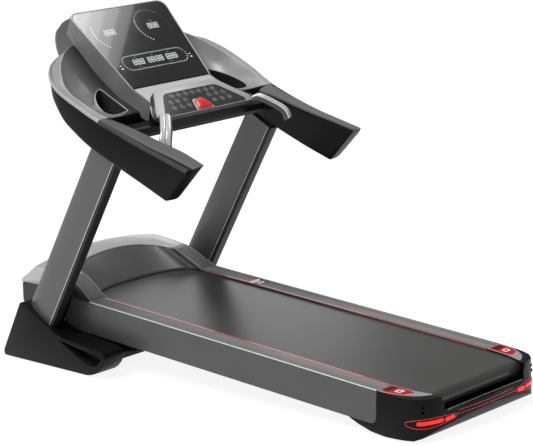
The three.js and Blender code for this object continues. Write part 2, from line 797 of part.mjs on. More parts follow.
function axleHole(radius, y) {
  return rod(radius + 0.4, FRAME_INNER - 5, FRAME_OUTER + 5, y, ROLLER_Z);
}

function crossMember(y) {
  const half = FRAME_INNER + 1;
  const top = BOARD_TOP - BOARD_THICK - GAP;
  return cut(
    box(-half, half, y - 20, y + 20, top - 24, top),
    box(-half + 4, half - 4, y - 17, y + 17, top - 30, top - 3));
}

function motorShelf() {
  return join(
    box(-FRAME_INNER - 1, FRAME_INNER + 1, 905, 1060, FRAME_BOTTOM, FRAME_BOTTOM + 4),
    box(LIFT_X - 34, LIFT_X - 30, 950, 1058, FRAME_BOTTOM, 60),
    box(LIFT_X + 30, LIFT_X + 34, 950, 1058, FRAME_BOTTOM, 60));
}

function runningFrame() {
  const rail = frameRail();
  const members = [-620, -200, 200, 600].map(crossMember);
  const body = join(rail, rail.mirror([1, 0, 0]), ...members, motorShelf());
  const rear = axleHole(REAR_AXLE_R, REAR_ROLLER_Y);
  const front = axleHole(FRONT_SHAFT_R, FRONT_ROLLER_Y);
  const motorShaft = rod(14, -FRAME_INNER - 8, -FRAME_INNER + 3, MOTOR_Y, MOTOR_Z);
  const ramSlot = box(LIFT_X - 26, LIFT_X + 26, 1000, 1065, FRAME_BOTTOM - 5, FRAME_BOTTOM + 8);
  return cut(body, rear, rear.mirror([1, 0, 0]), front, front.mirror([1, 0, 0]), motorShaft, ramSlot);
}

function runningBoard() {
  return box(-265, 265, -745, 800, BOARD_TOP - BOARD_THICK, BOARD_TOP);
}

function runningBelt() {
  const wheels = [REAR_ROLLER_Y, ROLLER_Z, ROLLER_R, FRONT_ROLLER_Y, ROLLER_Z, ROLLER_R];
  return cut(
    alongX(loopOutline(...wheels, GAP + BELT_THICK), -BELT_HALF, BELT_HALF),
    alongX(loopOutline(...wheels, GAP), -BELT_HALF - 5, BELT_HALF + 5));
}

const ROLLER_HALF = 271;

function rollerProfile() {
  const bore = REAR_AXLE_R + 0.4;
  const wall = ROLLER_R - 3.5;
  const inner = ROLLER_HALF - 14;
  return [
    [bore, -ROLLER_HALF], [ROLLER_R, -ROLLER_HALF], [ROLLER_R, ROLLER_HALF], [bore, ROLLER_HALF],
    [bore, inner], [wall, inner], [wall, -inner], [bore, -inner], [bore, -ROLLER_HALF],
  ];
}

function rearRoller() {
  return turnedX(rollerProfile(), REAR_ROLLER_Y, ROLLER_Z);
}

// The front roller turns in the frame on its own stub shafts and carries the driven pulley.
function frontRoller() {
  const end = PULLEY_X - PULLEY_HALF;
  const tube = turnedX(rollerProfile(), FRONT_ROLLER_Y, ROLLER_Z);
  const shaft = rod(FRONT_SHAFT_R, end - 3, FRAME_INNER + 7, FRONT_ROLLER_Y, ROLLER_Z);
  const plug = rod(9, -ROLLER_HALF, ROLLER_HALF, FRONT_ROLLER_Y, ROLLER_Z);
  const pulley = rod(DRIVEN_R, end, PULLEY_X + PULLEY_HALF, FRONT_ROLLER_Y, ROLLER_Z, 32);
  const vent = rod(3, ROLLER_HALF - 20, ROLLER_HALF + 5, FRONT_ROLLER_Y, ROLLER_Z + 16, 8);
  return cut(join(tube, shaft, plug, pulley), vent);
}

function rearAxle() {
  return rod(REAR_AXLE_R, -FRAME_INNER - 7, FRAME_INNER + 7, REAR_ROLLER_Y, ROLLER_Z);
}

function driveMotor() {
  const can = turnedX(
    [[11, -248], [MOTOR_R, -248], [MOTOR_R, -80], [38, -70], [11, -70], [11, -248]],
    MOTOR_Y, MOTOR_Z);
  const foot = box(-230, -100, MOTOR_Y - 22, MOTOR_Y + 22, FRAME_BOTTOM + 4 + GAP, MOTOR_Z - 30);
  const bore = rod(11, -260, -60, MOTOR_Y, MOTOR_Z);
  return cut(join(can, foot), bore);
}

function motorRotor() {
  const end = PULLEY_X - PULLEY_HALF;
  return join(
    rod(7, end - 4, -60, MOTOR_Y, MOTOR_Z),
    rod(MOTOR_PULLEY_R, end, PULLEY_X + PULLEY_HALF, MOTOR_Y, MOTOR_Z, 28),
    rod(40, -269, -255, MOTOR_Y, MOTOR_Z, 28));
}

function driveBelt() {
  const wheels = [FRONT_ROLLER_Y, ROLLER_Z, DRIVEN_R, MOTOR_Y, MOTOR_Z, MOTOR_PULLEY_R];
  const half = PULLEY_HALF - 1;
  return cut(
    alongX(loopOutline(...wheels, 3.5, 20), PULLEY_X - half, PULLEY_X + half),
    alongX(loopOutline(...wheels, GAP, 20), PULLEY_X - half - 5, PULLEY_X + half + 5));
}

function motorController() {
  const base = box(170, 262, 940, 1050, FRAME_BOTTOM + 4 + GAP, FRAME_BOTTOM + 34);
  const fins = [];
  for (let x = 176; x < 260; x += 12) {
    fins.push(box(x, x + 4, 945, 1045, FRAME_BOTTOM + 30, FRAME_BOTTOM + 56));
  }
  return join(base, ...fins);
}

// A cylinder along the actuator's axis, between two distances from the lower pin.
function liftRod(radius, low, high, segments = 20) {
  const geometry = new THREE.CylinderGeometry(radius, radius, high - low, segments);
  geometry.rotateX(Math.PI / 2).translate(0, 0, (low + high) / 2);
  geometry.rotateX(-Math.atan(LIFT_LEAN));
  return solid(geometry.translate(LIFT_X, LIFT_PIN_Y, LIFT_PIN_Z));
}

function liftActuator() {
  const gearbox = box(LIFT_X - 29, LIFT_X + 29, 1014, 1072, 250, 306);
  const motor = box(LIFT_X - 24, LIFT_X + 24, 960, 1016, 256, 300);
  return cut(join(liftRod(19, 88, 280), gearbox, motor), liftRod(14, 60, 268));
}

function liftRam() {
  const eye = rod(17, LIFT_X - 8, LIFT_X + 8, LIFT_PIN_Y, LIFT_PIN_Z, 28);
  return cut(
    join(liftRod(12.5, 12, 262), eye),
    rod(LIFT_EYE_R, LIFT_X - 12, LIFT_X + 12, LIFT_PIN_Y, LIFT_PIN_Z, 28));
}

function sidePanel() {
  const [frontTopY] = inDeck(846, 247);
  const [frontLowY] = inDeck(911, 139);
  const outline = [
    [-662, -3], [frontTopY, -3], [frontLowY, PANEL_BOTTOM], [-460, PANEL_BOTTOM],
    [-640, PANEL_BOTTOM + 2], [-655, PANEL_BOTTOM + 8], [-662, PANEL_BOTTOM + 22],
  ];
  const skin = alongX(outline, DECK_HALF - 3, DECK_HALF);
  const ledge = box(FRAME_OUTER + 1, DECK_HALF - 2, -660, 800, -30, -26);
  return join(skin, ledge);
}

function footRail() {
  const outline = [[RAIL_INNER, -5], [RAIL_INNER, -1], [RAIL_INNER + 1, 0]];
  for (const x of [276, 290, 304, 318]) {
    outline.push([x, 0], [x + 1.5, -1.5], [x + 3.5, -1.5], [x + 5, 0]);
  }
  outline.push([335, 0], [DECK_HALF - 1, -2], [DECK_HALF - 1, -2.7], [334.5, -2.7]);
  outline.push([334.5, -12], [272, -12], [272, -5]);
  return alongY(outline, -662, 752);
}

// ---------------------------------------------------------------- rear end
function rearPlan(inset) {
  const i = inset;
  const half = [
    [338 - i, -500], [338 - i, -700], [336 - i, -738], [330 - i, -773], [318 - i, -803 + i * 0.4],
    [296 - i, -827 + i * 0.7], [262 - i * 0.7, -843 + i * 0.9], [222 - i * 0.3, -852 + i],
    [169, -858 + i], [100, -864 + i], [0, -868 + i],
  ];
  const mirrored = half.slice(0, -1).reverse().map(([x, y]) => [-x, y]);
  return [...half, ...mirrored];
}

function rearSideOutline(inset) {
  const i = inset;
  const topAt = (y) => DECK_Z + Math.tan(DECK_SLOPE) * y - 2.5 - i * 0.8;
  return [
    [-661.5 + i * 2, topAt(-661.5)], [-900, topAt(-900)], [-900, 70], [-866 + i, 62], [-846 + i, 36],
    [-822 + i, 15 + i], [-800, 7 + i], [-690, 7 + i], [-630, 14 + i], [-575, 30 + i],
    [-530, 48 + i], [-505, 50 + i], [-505 + i * 9, 57 + i], [-655.5 + i * 2, 63 + i],
  ];
}

// The plan of the opening in which the running belt turns round its roller.
function wellPlan() {
  const half = [[261, -500], [261, -664], [253, -760], [241, -806], [228, -832], [218, -846]];
  return [...half, ...[...half].reverse().map(([x, y]) => [-x, y])];
}

function rearCover() {
  const outer = alongX(rearSideOutline(0), -340, 340).intersect(alongZ(rearPlan(0), -10, 300));
  const inner = alongX(rearSideOutline(4), -340, 340).intersect(alongZ(rearPlan(5), -10, 300));
  const well = alongZ(wellPlan(), 100, 300);
  const slope = alongX([[-860, 96], [-846, 100], [-846, 300], [-900, 300], [-900, 96]], -218, 218);
  const feet = [-1, 1].map((s) => box(s * 288 - 16, s * 288 + 16, TILT_Y - 14, TILT_Y + 14, -5, 40));
  const panelRoom = alongX([
    [-661.3, 300], [-661.3, 161], [-655.2, 60], [-647.3, 46], [-631.5, 40.8], [-400, 53.5], [-400, 300],
  ], DECK_HALF - 4, DECK_HALF + 6);
  return toDeck(cut(outer, inner, well, slope, ...feet, panelRoom, panelRoom.mirror([1, 0, 0])));
}

function labelPlate() {
  const outline = [
    [262, -664], [335, -664], [335, -690], [331, -712], [324, -736], [312, -762], [296, -787],
    [276, -806], [243, -824], [238, -820], [254, -760],
  ];
  return alongZ(outline, -2, 0);
}

// Two red segments round a rear corner, just proud of the cover.
function tailLight() {
  const plan = rearPlan(0).slice(3, 9);
  const shift = ([x, y], out) => {
    const reach = Math.hypot(x, y + 640);
    return [x + (out * x) / reach, y + (out * (y + 640)) / reach];
  };
  const outline = [...plan.map((p) => shift(p, 4)), ...plan.reverse().map((p) => shift(p, 0.8))];
  return toDeck(alongZ(outline, 64, 74));
}

function rearFoot() {
  const outline = [];
  for (let i = 0; i <= 10; i += 1) {
    const angle = Math.PI + (Math.PI * i) / 10;
    outline.push([TILT_Y + FOOT_R * Math.cos(angle), FOOT_R + FOOT_R * Math.sin(angle)]);
  }
  outline.push([TILT_Y + FOOT_R, 76], [TILT_Y - FOOT_R, 74.5]);
  return toDeck(alongX(outline, FRAME_INNER + 2, FRAME_OUTER - 2));
}

// ---------------------------------------------------------------- motor cover
const HOOD_HALF = 334.5;
const SEAM_Z = 272;

// Side outline of the hood at a distance x from the middle: wedge, rise, crest and nose.
function hoodOutline(x, inset) {
  const t = Math.abs(x) / HOOD_HALF;
  const i = inset;
  const crest = 388 - 40 * t * t - 14 * t ** 8;
  const ridge = 352 - 12 * t * t;
  const wedge = THREE.MathUtils.smoothstep(t, 0.45, 0.78);
  const low = THREE.MathUtils.lerp(855, 745, THREE.MathUtils.smoothstep(t, 0, 0.78));
  const lowZ = DECK_Z + Math.tan(DECK_SLOPE) * low + 1;
  const midY = THREE.MathUtils.lerp(905, 822, wedge);
  const midZ = THREE.MathUtils.lerp(315, 303, wedge);
  return [
    [low + i * 2, lowZ - i * 8], [midY + i, midZ - i], [955, ridge - i], [1005, crest - 12 - i],
    [1060, crest - i], [1098, crest - 22 - i], [1120, 322 - 30 * t - i], [1138 - i, 292 - i],
    [FRONT_Y - i, SEAM_Z - i * 8], [930, SEAM_Z - i * 8], [915, lowZ - i * 8],
  ];
}

function hoodBody(inset) {
  const xs = [-1, -0.97, -0.78, -0.6, -0.4, -0.2, 0, 0.2, 0.4, 0.6, 0.78, 0.97, 1];
  const half = HOOD_HALF - inset;
  const rings = xs.map((t) =>
    hoodOutline(t * half, inset).map(([y, z]) => new THREE.Vector3(t * half, y, z)));
  return loft(rings, hoodOutline(0, 0));
}

// The user-facing fascia lies inside this arch in plan.
function fasciaPlan(grow) {
  const points = [[-RAIL_INNER - grow, 700], [RAIL_INNER + grow, 700], [RAIL_INNER + grow, 760]];
  for (let i = 0; i <= 14; i += 1) {
    const angle = (Math.PI * i) / 14;
    points.push([
      (RAIL_INNER - 6 + grow) * Math.sign(Math.cos(angle)) * Math.abs(Math.cos(angle)) ** 0.6,
      790 + (165 + grow) * Math.sin(angle) ** 0.6,
    ]);
  }
  points.push([-RAIL_INNER - grow, 760]);
  return points;
}

function hoodParts() {
  const shell = cut(hoodBody(0), hoodBody(4));
  const plan = (grow) => alongZ(fasciaPlan(grow), 100, 500);
  return { hood: shell.subtract(plan(0)), fascia: shell.intersect(plan(-GAP)) };
}

function motorTray() {
  const [, seam] = inDeck(1000, SEAM_Z);
  const low = PANEL_BOTTOM + 5;
  const front = inDeck(FRONT_Y - 2, 200)[0];
  const outline = (i) => [
    [936 + i * 0.5, low + i], [1080, low + i], [front - 30, low + 10 + i], [front - i, low + 45],
    [front + 2 - i, seam - 12 + i * 3], [936 + i * 0.5, seam + 2.5 + i * 3],
  ];
  const body = cut(
    alongX(outline(0), -334, 334), alongX(outline(4).map(([y, z]) => [y - 8, z]), -330, 330));
  const ramHole = box(LIFT_X - 34, LIFT_X + 34, 985, 1085, low - 10, low + 10);
  const inletHole = box(208, 292, 1080, 1160, -70, -40);
  return cut(body, ramHole, inletHole);
}

function powerInlet() {
  const y = 1128;
  const body = box(210, 246, y - 26, y + 6, -68, -42);
  const socket = box(214, 242, y - 18, y + 10, -64, -46);
  const pins = [-8, 0, 8].map((dx) => box(227 + dx, 229 + dx, y - 19, y - 2, -57, -53));
  return join(cut(body, socket), ...pins);
}

function powerSwitch() {
  const y = 1128;
  return alongX([[y - 18, -66], [y + 1, -66], [y + 5, -55], [y + 1, -44], [y - 18, -44]], 258, 284);
}

// ---------------------------------------------------------------- assembly
piece(machine, "base_frame", baseFrame(), STEEL);
piece(machine, "console_crossbar", consoleCrossbar(), STEEL);
piece(machine, "console_lower", consoleLower(), BLACK_PLASTIC);
piece(machine, "console_back", consoleBack(), DARK_GREY);
piece(machine, "console_frame", consoleFrame(), MID_GREY);
piece(glassGroup, "screen_trim", screenTrim(), SILVER);
piece(glassGroup, "screen_glass", screenGlass(), GLASS);
piece(glassGroup, "display_board", displayBoard(), CIRCUIT);
piece(panelGroup, "control_panel", controlPanel(), SILVER);
piece(panelGroup, "keypad", keypad(), BLACK_PLASTIC);
piece(panelGroup, "safety_key", safetyKey(), RED);

for (const { side, onFloor, onDeck } of SIDES) {
  piece(onFloor, `${side}_upright`, upright(), UPRIGHT_PAINT);
  piece(onFloor, `${side}_upright_trim`, uprightTrim(), BLACK_PLASTIC);
  piece(onFloor, `${side}_shoe`, shoe(), BLACK_PLASTIC);
  piece(onFloor, `${side}_floor_pad`, floorPad(), RUBBER);
  piece(onFloor, `${side}_transport_wheel`, transportWheel(), RUBBER);
  piece(onFloor, `${side}_arm_shell`, armShell(), BLACK_PLASTIC);
  piece(onFloor, `${side}_grip_pad`, gripPad(), DARK_GREY);
  piece(onFloor, `${side}_arm_top`, armTop(), LIGHT_GREY);
  piece(onFloor, `${side}_cup_holder`, cupHolder(), DARK_GREY);
  piece(onFloor, `${side}_pulse_grip`, pulseGrip(), BRIGHT_STEEL);
  piece(onDeck, `${side}_side_panel`, sidePanel(), PANEL_PAINT);
  piece(onDeck, `${side}_foot_rail`, footRail(), RAIL_GREY);
  piece(onDeck, `${side}_label_plate`, labelPlate(), RAIL_GREY);
  piece(onDeck, `${side}_tail_light`, tailLight(), RED);
  piece(onDeck, `${side}_rear_foot`, rearFoot(), RUBBER);
}

const { hood, fascia } = hoodParts();
piece(deck, "running_frame", runningFrame(), STEEL);
piece(deck, "running_board", runningBoard(), BOARD);
piece(deck, "running_belt", runningBelt(), BELT_BLACK);
piece(deck, "front_roller", frontRoller(), BRIGHT_STEEL);
piece(deck, "rear_roller", rearRoller(), BRIGHT_STEEL);
piece(deck, "rear_axle", rearAxle(), BRIGHT_STEEL);
piece(deck, "drive_motor", driveMotor(), STEEL);
piece(deck, "motor_rotor", motorRotor(), BRIGHT_STEEL);
piece(deck, "drive_belt", driveBelt(), RUBBER);
piece(deck, "motor_controller", motorController(), BRIGHT_STEEL);
piece(machine, "lift_actuator", liftActuator(), STEEL);
piece(machine, "lift_ram", liftRam(), BRIGHT_STEEL);
piece(deck, "motor_tray", motorTray(), DARK_GREY);
piece(machine, "motor_hood", hood, LIGHT_GREY);
piece(machine, "hood_fascia", fascia, DARK_GREY);
piece(deck, "rear_cover", rearCover(), BLACK_PLASTIC);
piece(deck, "power_inlet", powerInlet(), BLACK_PLASTIC);
piece(deck, "power_switch", powerSwitch(), BLACK_PLASTIC);

export default treadmill;
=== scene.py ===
"""Looks for the motorised treadmill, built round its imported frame.

Lengths in the tables are millimetres. y is measured from the deck's reference line, as in the
part's own source, and place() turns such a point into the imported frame's metres.
"""
import json
import math

import bmesh
import bpy
import numpy as np
from mathutils import Matrix, Vector


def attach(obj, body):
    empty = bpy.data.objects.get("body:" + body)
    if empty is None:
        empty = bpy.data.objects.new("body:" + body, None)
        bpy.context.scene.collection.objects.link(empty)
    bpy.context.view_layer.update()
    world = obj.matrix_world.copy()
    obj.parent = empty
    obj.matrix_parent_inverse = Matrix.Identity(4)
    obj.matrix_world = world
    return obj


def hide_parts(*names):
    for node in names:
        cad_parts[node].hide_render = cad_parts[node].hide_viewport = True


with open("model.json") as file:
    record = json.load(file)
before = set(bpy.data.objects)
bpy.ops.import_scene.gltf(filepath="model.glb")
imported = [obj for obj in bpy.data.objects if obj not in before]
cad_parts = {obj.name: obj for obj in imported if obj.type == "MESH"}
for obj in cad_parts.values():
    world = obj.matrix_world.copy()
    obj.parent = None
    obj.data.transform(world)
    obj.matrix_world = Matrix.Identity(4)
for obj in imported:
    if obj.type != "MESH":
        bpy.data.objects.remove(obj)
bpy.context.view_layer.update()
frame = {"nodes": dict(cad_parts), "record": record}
NODES = frame["nodes"]
SLOT_OF = {part["node"]: part["material_slot"] for part in frame["record"]["subparts"]}
BODY_OF = {
    node: body
    for body, nodes in frame["record"]["behaviour"]["bodies"].items()
    for node in nodes
}

# ---- driving dimensions
MM = 0.001
CENTRE_Y = 137.0
DECK_SLOPE = math.radians(3.5)
DECK_Z = 203.4
RAIL_INNER, RAIL_OUTER = 260.2, 338.3
RAIL_REAR, RAIL_FRONT = -661.0, 751.0
LEAN = 0.617
UPRIGHT_X0, UPRIGHT_X1 = 385.0, 425.0
UPRIGHT_DEPTH = 176.0
TRIM_DEPTH = 16.0
SHOE_X0, SHOE_X1 = 345.0, 450.0
GLASS_SLOPE = math.radians(42.7)
GLASS_Y, GLASS_Z = 591.0, 1050.0
GLASS_LONG = 386.0
GLASS_HALF_BOTTOM, GLASS_HALF_TOP = 198.0, 243.0
FRAME_DEPTH = 64.0
PANEL_SLOPE = math.radians(25)
PANEL_Y, PANEL_Z = 405.0, 963.0
PLATE_SLOPE = math.radians(33.4)
PLATE_Z = 965.0
HOOD_HALF = 334.5
SEAM_Z = 272.0
NOSE_Y = 1142.0
SHELL_THICK = 3.0
SIDES = (("right", 1), ("left", -1))
FLOOR, DECK = "floor_frame", "deck"


def place(x, y, z):
    return Vector((x, y - CENTRE_Y, z)) * MM


def tilted(slope, y0, z0):
    """Makes a placing function for a plane that rises forward from (y0, z0)."""
    s, c = math.sin(slope), math.cos(slope)
    return lambda x, up, out: place(x, y0 + up * c - out * s, z0 + up * s + out * c)


on_deck = tilted(DECK_SLOPE, 0, DECK_Z)
on_glass = tilted(GLASS_SLOPE, GLASS_Y, GLASS_Z)
on_panel = tilted(PANEL_SLOPE, PANEL_Y, PANEL_Z)
on_plate = tilted(PLATE_SLOPE, PANEL_Y, PLATE_Z)


def add_object(name, data):
    """Makes an object and puts it in the scene."""
    thing = bpy.data.objects.new(name, data)
    bpy.context.scene.collection.objects.link(thing)
    return thing


# ---- materials
def node_setup(name="look"):
    material = bpy.data.materials.new(name)
    material.use_nodes = True
    tree = material.node_tree
    return material, tree, tree.nodes["Principled BSDF"]


def set_sockets(node, values):
    for name, value in values.items():
        node.inputs[name].default_value = value


def coordinates(tree, scale=(1, 1, 1)):
    source = tree.nodes.new("ShaderNodeTexCoord")
    mapping = tree.nodes.new("ShaderNodeMapping")
    set_sockets(mapping, {"Scale": scale})
    tree.links.new(source.outputs["Object"], mapping.inputs["Vector"])
    return mapping.outputs["Vector"]


def noise(tree, scale, detail, stretch=(1, 1, 1)):
    texture = tree.nodes.new("ShaderNodeTexNoise")
    set_sockets(texture, {"Scale": scale, "Detail": detail})
    tree.links.new(coordinates(tree, stretch), texture.inputs["Vector"])
    return texture.outputs["Fac"]


def ramp(tree, factor, low, high, socket):
    """Feeds a factor through a two-colour ramp into a shader's socket."""
    node = tree.nodes.new("ShaderNodeValToRGB")
    for stop, position, colour in zip(node.color_ramp.elements, (0.3, 0.7), (low, high)):
        stop.position = position
        stop.color = colour
    tree.links.new(factor, node.inputs["Fac"])
    tree.links.new(node.outputs["Color"], socket)


def vary_colour(tree, shader, factor, colour, low, high):
    """Blotches between a darker and a lighter share of one colour."""
    shades = [tuple(min(1.0, c * share) for c in colour) + (1,) for share in (low, high)]
    ramp(tree, factor, *shades, shader.inputs["Base Color"])


def vary_gloss(tree, shader, factor, low, high):
    ramp(tree, factor, (low, low, low, 1), (high, high, high, 1), shader.inputs["Roughness"])


def bump(tree, shader, height, strength, distance):
    node = tree.nodes.new("ShaderNodeBump")
    set_sockets(node, {"Strength": strength, "Distance": distance})
    tree.links.new(height, node.inputs["Height"])
    tree.links.new(node.outputs["Normal"], shader.inputs["Normal"])


def moulded(colour, rough, grain=1600, depth=0.05, coat=0.0, metal=0.0, vary=0.12, shine=0.5):
    """Moulded or painted skin: soft blotches in colour and gloss, and a fine grain."""
    material, tree, shader = node_setup()
    vary_colour(tree, shader, noise(tree, 9, 4), colour, 1 - vary, 1 + vary)
    fine = noise(tree, grain, 2)
    vary_gloss(tree, shader, fine, rough - 0.05, rough + 0.06)
    bump(tree, shader, fine, depth, 0.0004)
    set_sockets(shader, {"Metallic": metal, "Specular IOR Level": shine, "Coat Weight": coat,
                         "Coat Roughness": 0.25})
    return material


def brushed(colour, rough, stretch, metal=0.9):
    """Metal with fine lines along one direction."""
    material, tree, shader = node_setup()
    lines = noise(tree, 60, 5, stretch)
    vary_colour(tree, shader, lines, colour, 0.88, 1.08)
    vary_gloss(tree, shader, lines, rough - 0.06, rough + 0.1)
    bump(tree, shader, lines, 0.05, 0.0002)
    set_sockets(shader, {"Metallic": metal})
    return material


def woven(colour, rough):
    """The running belt: a fine weave on a worn, slightly uneven surface."""
    material, tree, shader = node_setup()
    vary_colour(tree, shader, noise(tree, 3.5, 5, (1, 0.35, 1)), colour, 0.86, 1.16)
    weave = tree.nodes.new("ShaderNodeTexVoronoi")
    set_sockets(weave, {"Scale": 420})
    tree.links.new(coordinates(tree, (1, 0.75, 1)), weave.inputs["Vector"])
    vary_gloss(tree, shader, noise(tree, 900, 2), rough - 0.05, rough + 0.1)
    bump(tree, shader, weave.outputs["Distance"], 0.12, 0.0003)
    return material


def glossy(colour, rough, shine=0.5):
    """A clear-coated film, glass or bright plastic with faint smears."""
    material, tree, shader = node_setup()
    smear = noise(tree, 14, 3)
    vary_colour(tree, shader, smear, colour, 0.9, 1.1)
    vary_gloss(tree, shader, smear, rough, rough + 0.03)
    set_sockets(shader, {"Specular IOR Level": shine, "Coat Weight": 0.6, "Coat Roughness": 0.03})
    return material


def lit(colour, strength):
    """A lamp or a display mark that gives a little light of its own; printed marks made with it glow with
    painted light.
    """
    material, tree, shader = node_setup()
    vary_colour(tree, shader, noise(tree, 200, 1), colour, 0.4, 0.5)
    set_sockets(shader, {"Emission Color": (*colour, 1), "Emission Strength": strength, "Roughness": 0.35})
    return material


def board(colour):
    """Wood fibres along the deck."""
    material, tree, shader = node_setup()
    vary_colour(tree, shader, noise(tree, 40, 6, (1, 0.1, 1)), colour, 0.75, 1.2)
    set_sockets(shader, {"Roughness": 0.7})
    return material


def painted_shade_inward(material, start, end, share):
    """Paints shade into a colour: darkens it smoothly from one distance off the middle to a nearer one."""
    tree = material.node_tree
    base = tree.nodes["Principled BSDF"].inputs["Base Color"]
    colour = base.links[0].from_socket
    split = tree.nodes.new("ShaderNodeSeparateXYZ")
    size = tree.nodes.new("ShaderNodeMath")
    size.operation = "ABSOLUTE"
    fade = tree.nodes.new("ShaderNodeMapRange")
    fade.interpolation_type = "SMOOTHSTEP"
    set_sockets(fade, {"From Min": start * MM, "From Max": end * MM, "To Min": share})
    scale = tree.nodes.new("ShaderNodeVectorMath")
    scale.operation = "SCALE"
    tree.links.new(coordinates(tree), split.inputs[0])
    tree.links.new(split.outputs["X"], size.inputs[0])
    tree.links.new(size.outputs[0], fade.inputs["Value"])
    tree.links.new(colour, scale.inputs[0])
    tree.links.new(fade.outputs["Result"], scale.inputs["Scale"])
    tree.links.new(scale.outputs[0], base)
    return material


LOOKS = {
    "frame_steel": moulded((0.012, 0.012, 0.013), 0.5, 1400, 0.12, shine=0.2),
    "bright_steel": brushed((0.3, 0.3, 0.31), 0.3, (1, 30, 30)),
    "heat_sink": brushed((0.25, 0.25, 0.25), 0.4, (30, 1, 30)),
    "upright_paint": moulded((0.08, 0.08, 0.082), 0.36, 2200, 0.04, 0.2, 0.3, 0.04),
    "side_panel_paint": moulded((0.062, 0.062, 0.064), 0.36, 2200, 0.04, 0.15, 0.3, 0.05),
    "foot_rail_aluminium": moulded((0.2, 0.2, 0.192), 0.5, 1500, 0.02, 0, 0.1, 0.05),
    "label_plate_grey": moulded((0.3, 0.3, 0.3), 0.42, 1500, 0.04),
    "black_plastic": moulded((0.0035, 0.0035, 0.0037), 0.42, shine=0.13),
    "keypad_film": glossy((0.006, 0.006, 0.0065), 0.12),
    "dark_grey_plastic": moulded((0.03, 0.03, 0.031), 0.42, depth=0.06, shine=0.35),
    "grip_foam": moulded((0.1, 0.1, 0.102), 0.55, 900, 0.25, vary=0.08),
    "console_grey": moulded((0.16, 0.16, 0.163), 0.42),
    "arm_top_grey": moulded((0.36, 0.36, 0.365), 0.36, 1800, 0.04, 0.2, 0.1, 0.05),
    "hood_silver": moulded((0.47, 0.47, 0.48), 0.32, 1800, 0.03, 0.2, 0.1, 0.04),
    "panel_silver": brushed((0.48, 0.48, 0.485), 0.36, (1, 26, 26), 0.25),
    "grip_steel": brushed((0.86, 0.86, 0.87), 0.2, (20, 1, 20), 0.55),
    "screen_glass": glossy((0.003, 0.003, 0.0034), 0.13, 0.3),
    "circuit_board": glossy((0.01, 0.06, 0.03), 0.3),
    "red_plastic": glossy((0.75, 0.01, 0.014), 0.22),
    "rubber": moulded((0.012, 0.012, 0.012), 0.7, 900, 0.3, shine=0.3),
    "belt_black": woven((0.04, 0.04, 0.0385), 0.3),
    "deck_board": board((0.15, 0.1, 0.06)),
    "red_line": glossy((0.72, 0.012, 0.01), 0.3),
    "deep_red": moulded((0.06, 0.002, 0.003), 0.5, shine=0.1),
    "decal_red": moulded((0.5, 0.003, 0.008), 0.5, shine=0.12),
    "red_lamp": lit((0.9, 0.006, 0.01), 0.8),
    "orange_film": glossy((0.85, 0.22, 0.01), 0.35),
    "sill_grey": brushed((0.16, 0.16, 0.16), 0.4, (1, 20, 20), 0.3),
    "thin_silver": brushed((0.8, 0.8, 0.8), 0.35, (1, 1, 20), 0.3),
    "rib_grey": moulded((0.1, 0.1, 0.1), 0.5, shine=0.3),
    # white_mark and pale_mark are printed marks; their glow is painted light.
    "white_mark": lit((0.8, 0.8, 0.8), 0.5),
    "pale_mark": lit((0.5, 0.5, 0.51), 0.4),
    "white_led": lit((0.9, 0.93, 0.95), 1.3),
    "dim_led": lit((0.4, 0.42, 0.43), 0.25),
    "green_led": lit((0.15, 0.75, 0.25), 0.7),
    "red_led": lit((0.4, 0.03, 0.03), 0.3),
    "amber_led": lit((0.75, 0.7, 0.35), 0.8),
    # The bowl's grey carries painted shade: it darkens towards the console wall.
    "bowl_grey": painted_shade_inward(
        moulded((0.27, 0.27, 0.274), 0.32, 1800, 0.04, 0.25, 0.1, 0.05), 225, 375, 0.1),
    "shell_grey": moulded((0.055, 0.055, 0.057), 0.38, coat=0.15),
    "fascia_grey": moulded((0.065, 0.065, 0.067), 0.36, coat=0.15),
    "trim_black": moulded((0.016, 0.016, 0.0165), 0.45, shine=0.3),
    # hole_black is painted shade: the dark inside of a hole, put on flat discs.
    "hole_black": moulded((0.001, 0.001, 0.001), 0.8, shine=0.05),
    "grip_body": moulded((0.06, 0.06, 0.062), 0.4, coat=0.1),
    "wedge_grey": moulded((0.13, 0.13, 0.132), 0.36, coat=0.15),
}
for look_name, look_material in LOOKS.items():
    look_material.name = look_name


# ---- mesh helpers
def finish_mesh(bm, name, angle=32):
    """Joins doubled points, faces outward, and shades smooth between sharp edges."""
    bmesh.ops.remove_doubles(bm, verts=bm.verts, dist=1e-6)
    bmesh.ops.recalc_face_normals(bm, faces=bm.faces)
    mesh = bpy.data.meshes.new(name)
    bm.to_mesh(mesh)
    bm.free()
    mesh.shade_smooth()
    mesh.set_sharp_from_angle(angle=math.radians(angle))
    return mesh


def mesh_of(name, points, faces, angle=32):
    bm = bmesh.new()
    verts = [bm.verts.new(p) for p in points]
    for face in faces:
        bm.faces.new([verts[i] for i in face])
    return finish_mesh(bm, name, angle)


def soften(thing, width, segments=3, angle=40):
    """Rounds a piece's sharp edges."""
    soft = thing.modifiers.new("soft_edges", "BEVEL")
    soft.width = width * MM
    soft.segments = segments
    soft.limit_method = "ANGLE"
    soft.angle_limit = math.radians(angle)
    soft.harden_normals = True


def put(mesh, name, look, node=None, body=FLOOR, slot=None, bevel=0, segments=3, angle=32):
    """Makes the object, gives it soft edges, and ties it to its CAD body and node."""
    thing = add_object(name, mesh)
    mesh.materials.clear()
    mesh.materials.append(LOOKS[look])
    if bevel:
        soften(thing, bevel, segments, angle)
    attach(thing, body)
    if node:
        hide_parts(node)
    return thing


def refined(node, bevel, name=None, segments=3):
    """A CAD node's own shape with flat faces joined up and its edges softened."""
    bm = bmesh.new()
    bm.from_mesh(NODES[node].data)
    bmesh.ops.remove_doubles(bm, verts=bm.verts, dist=2e-5)
    bmesh.ops.dissolve_limit(bm, angle_limit=math.radians(1.5), verts=bm.verts, edges=bm.edges)
    title = name or "fine_" + node
    return put(finish_mesh(bm, title), title, SLOT_OF[node], node, BODY_OF[node], bevel=bevel,
               segments=segments)


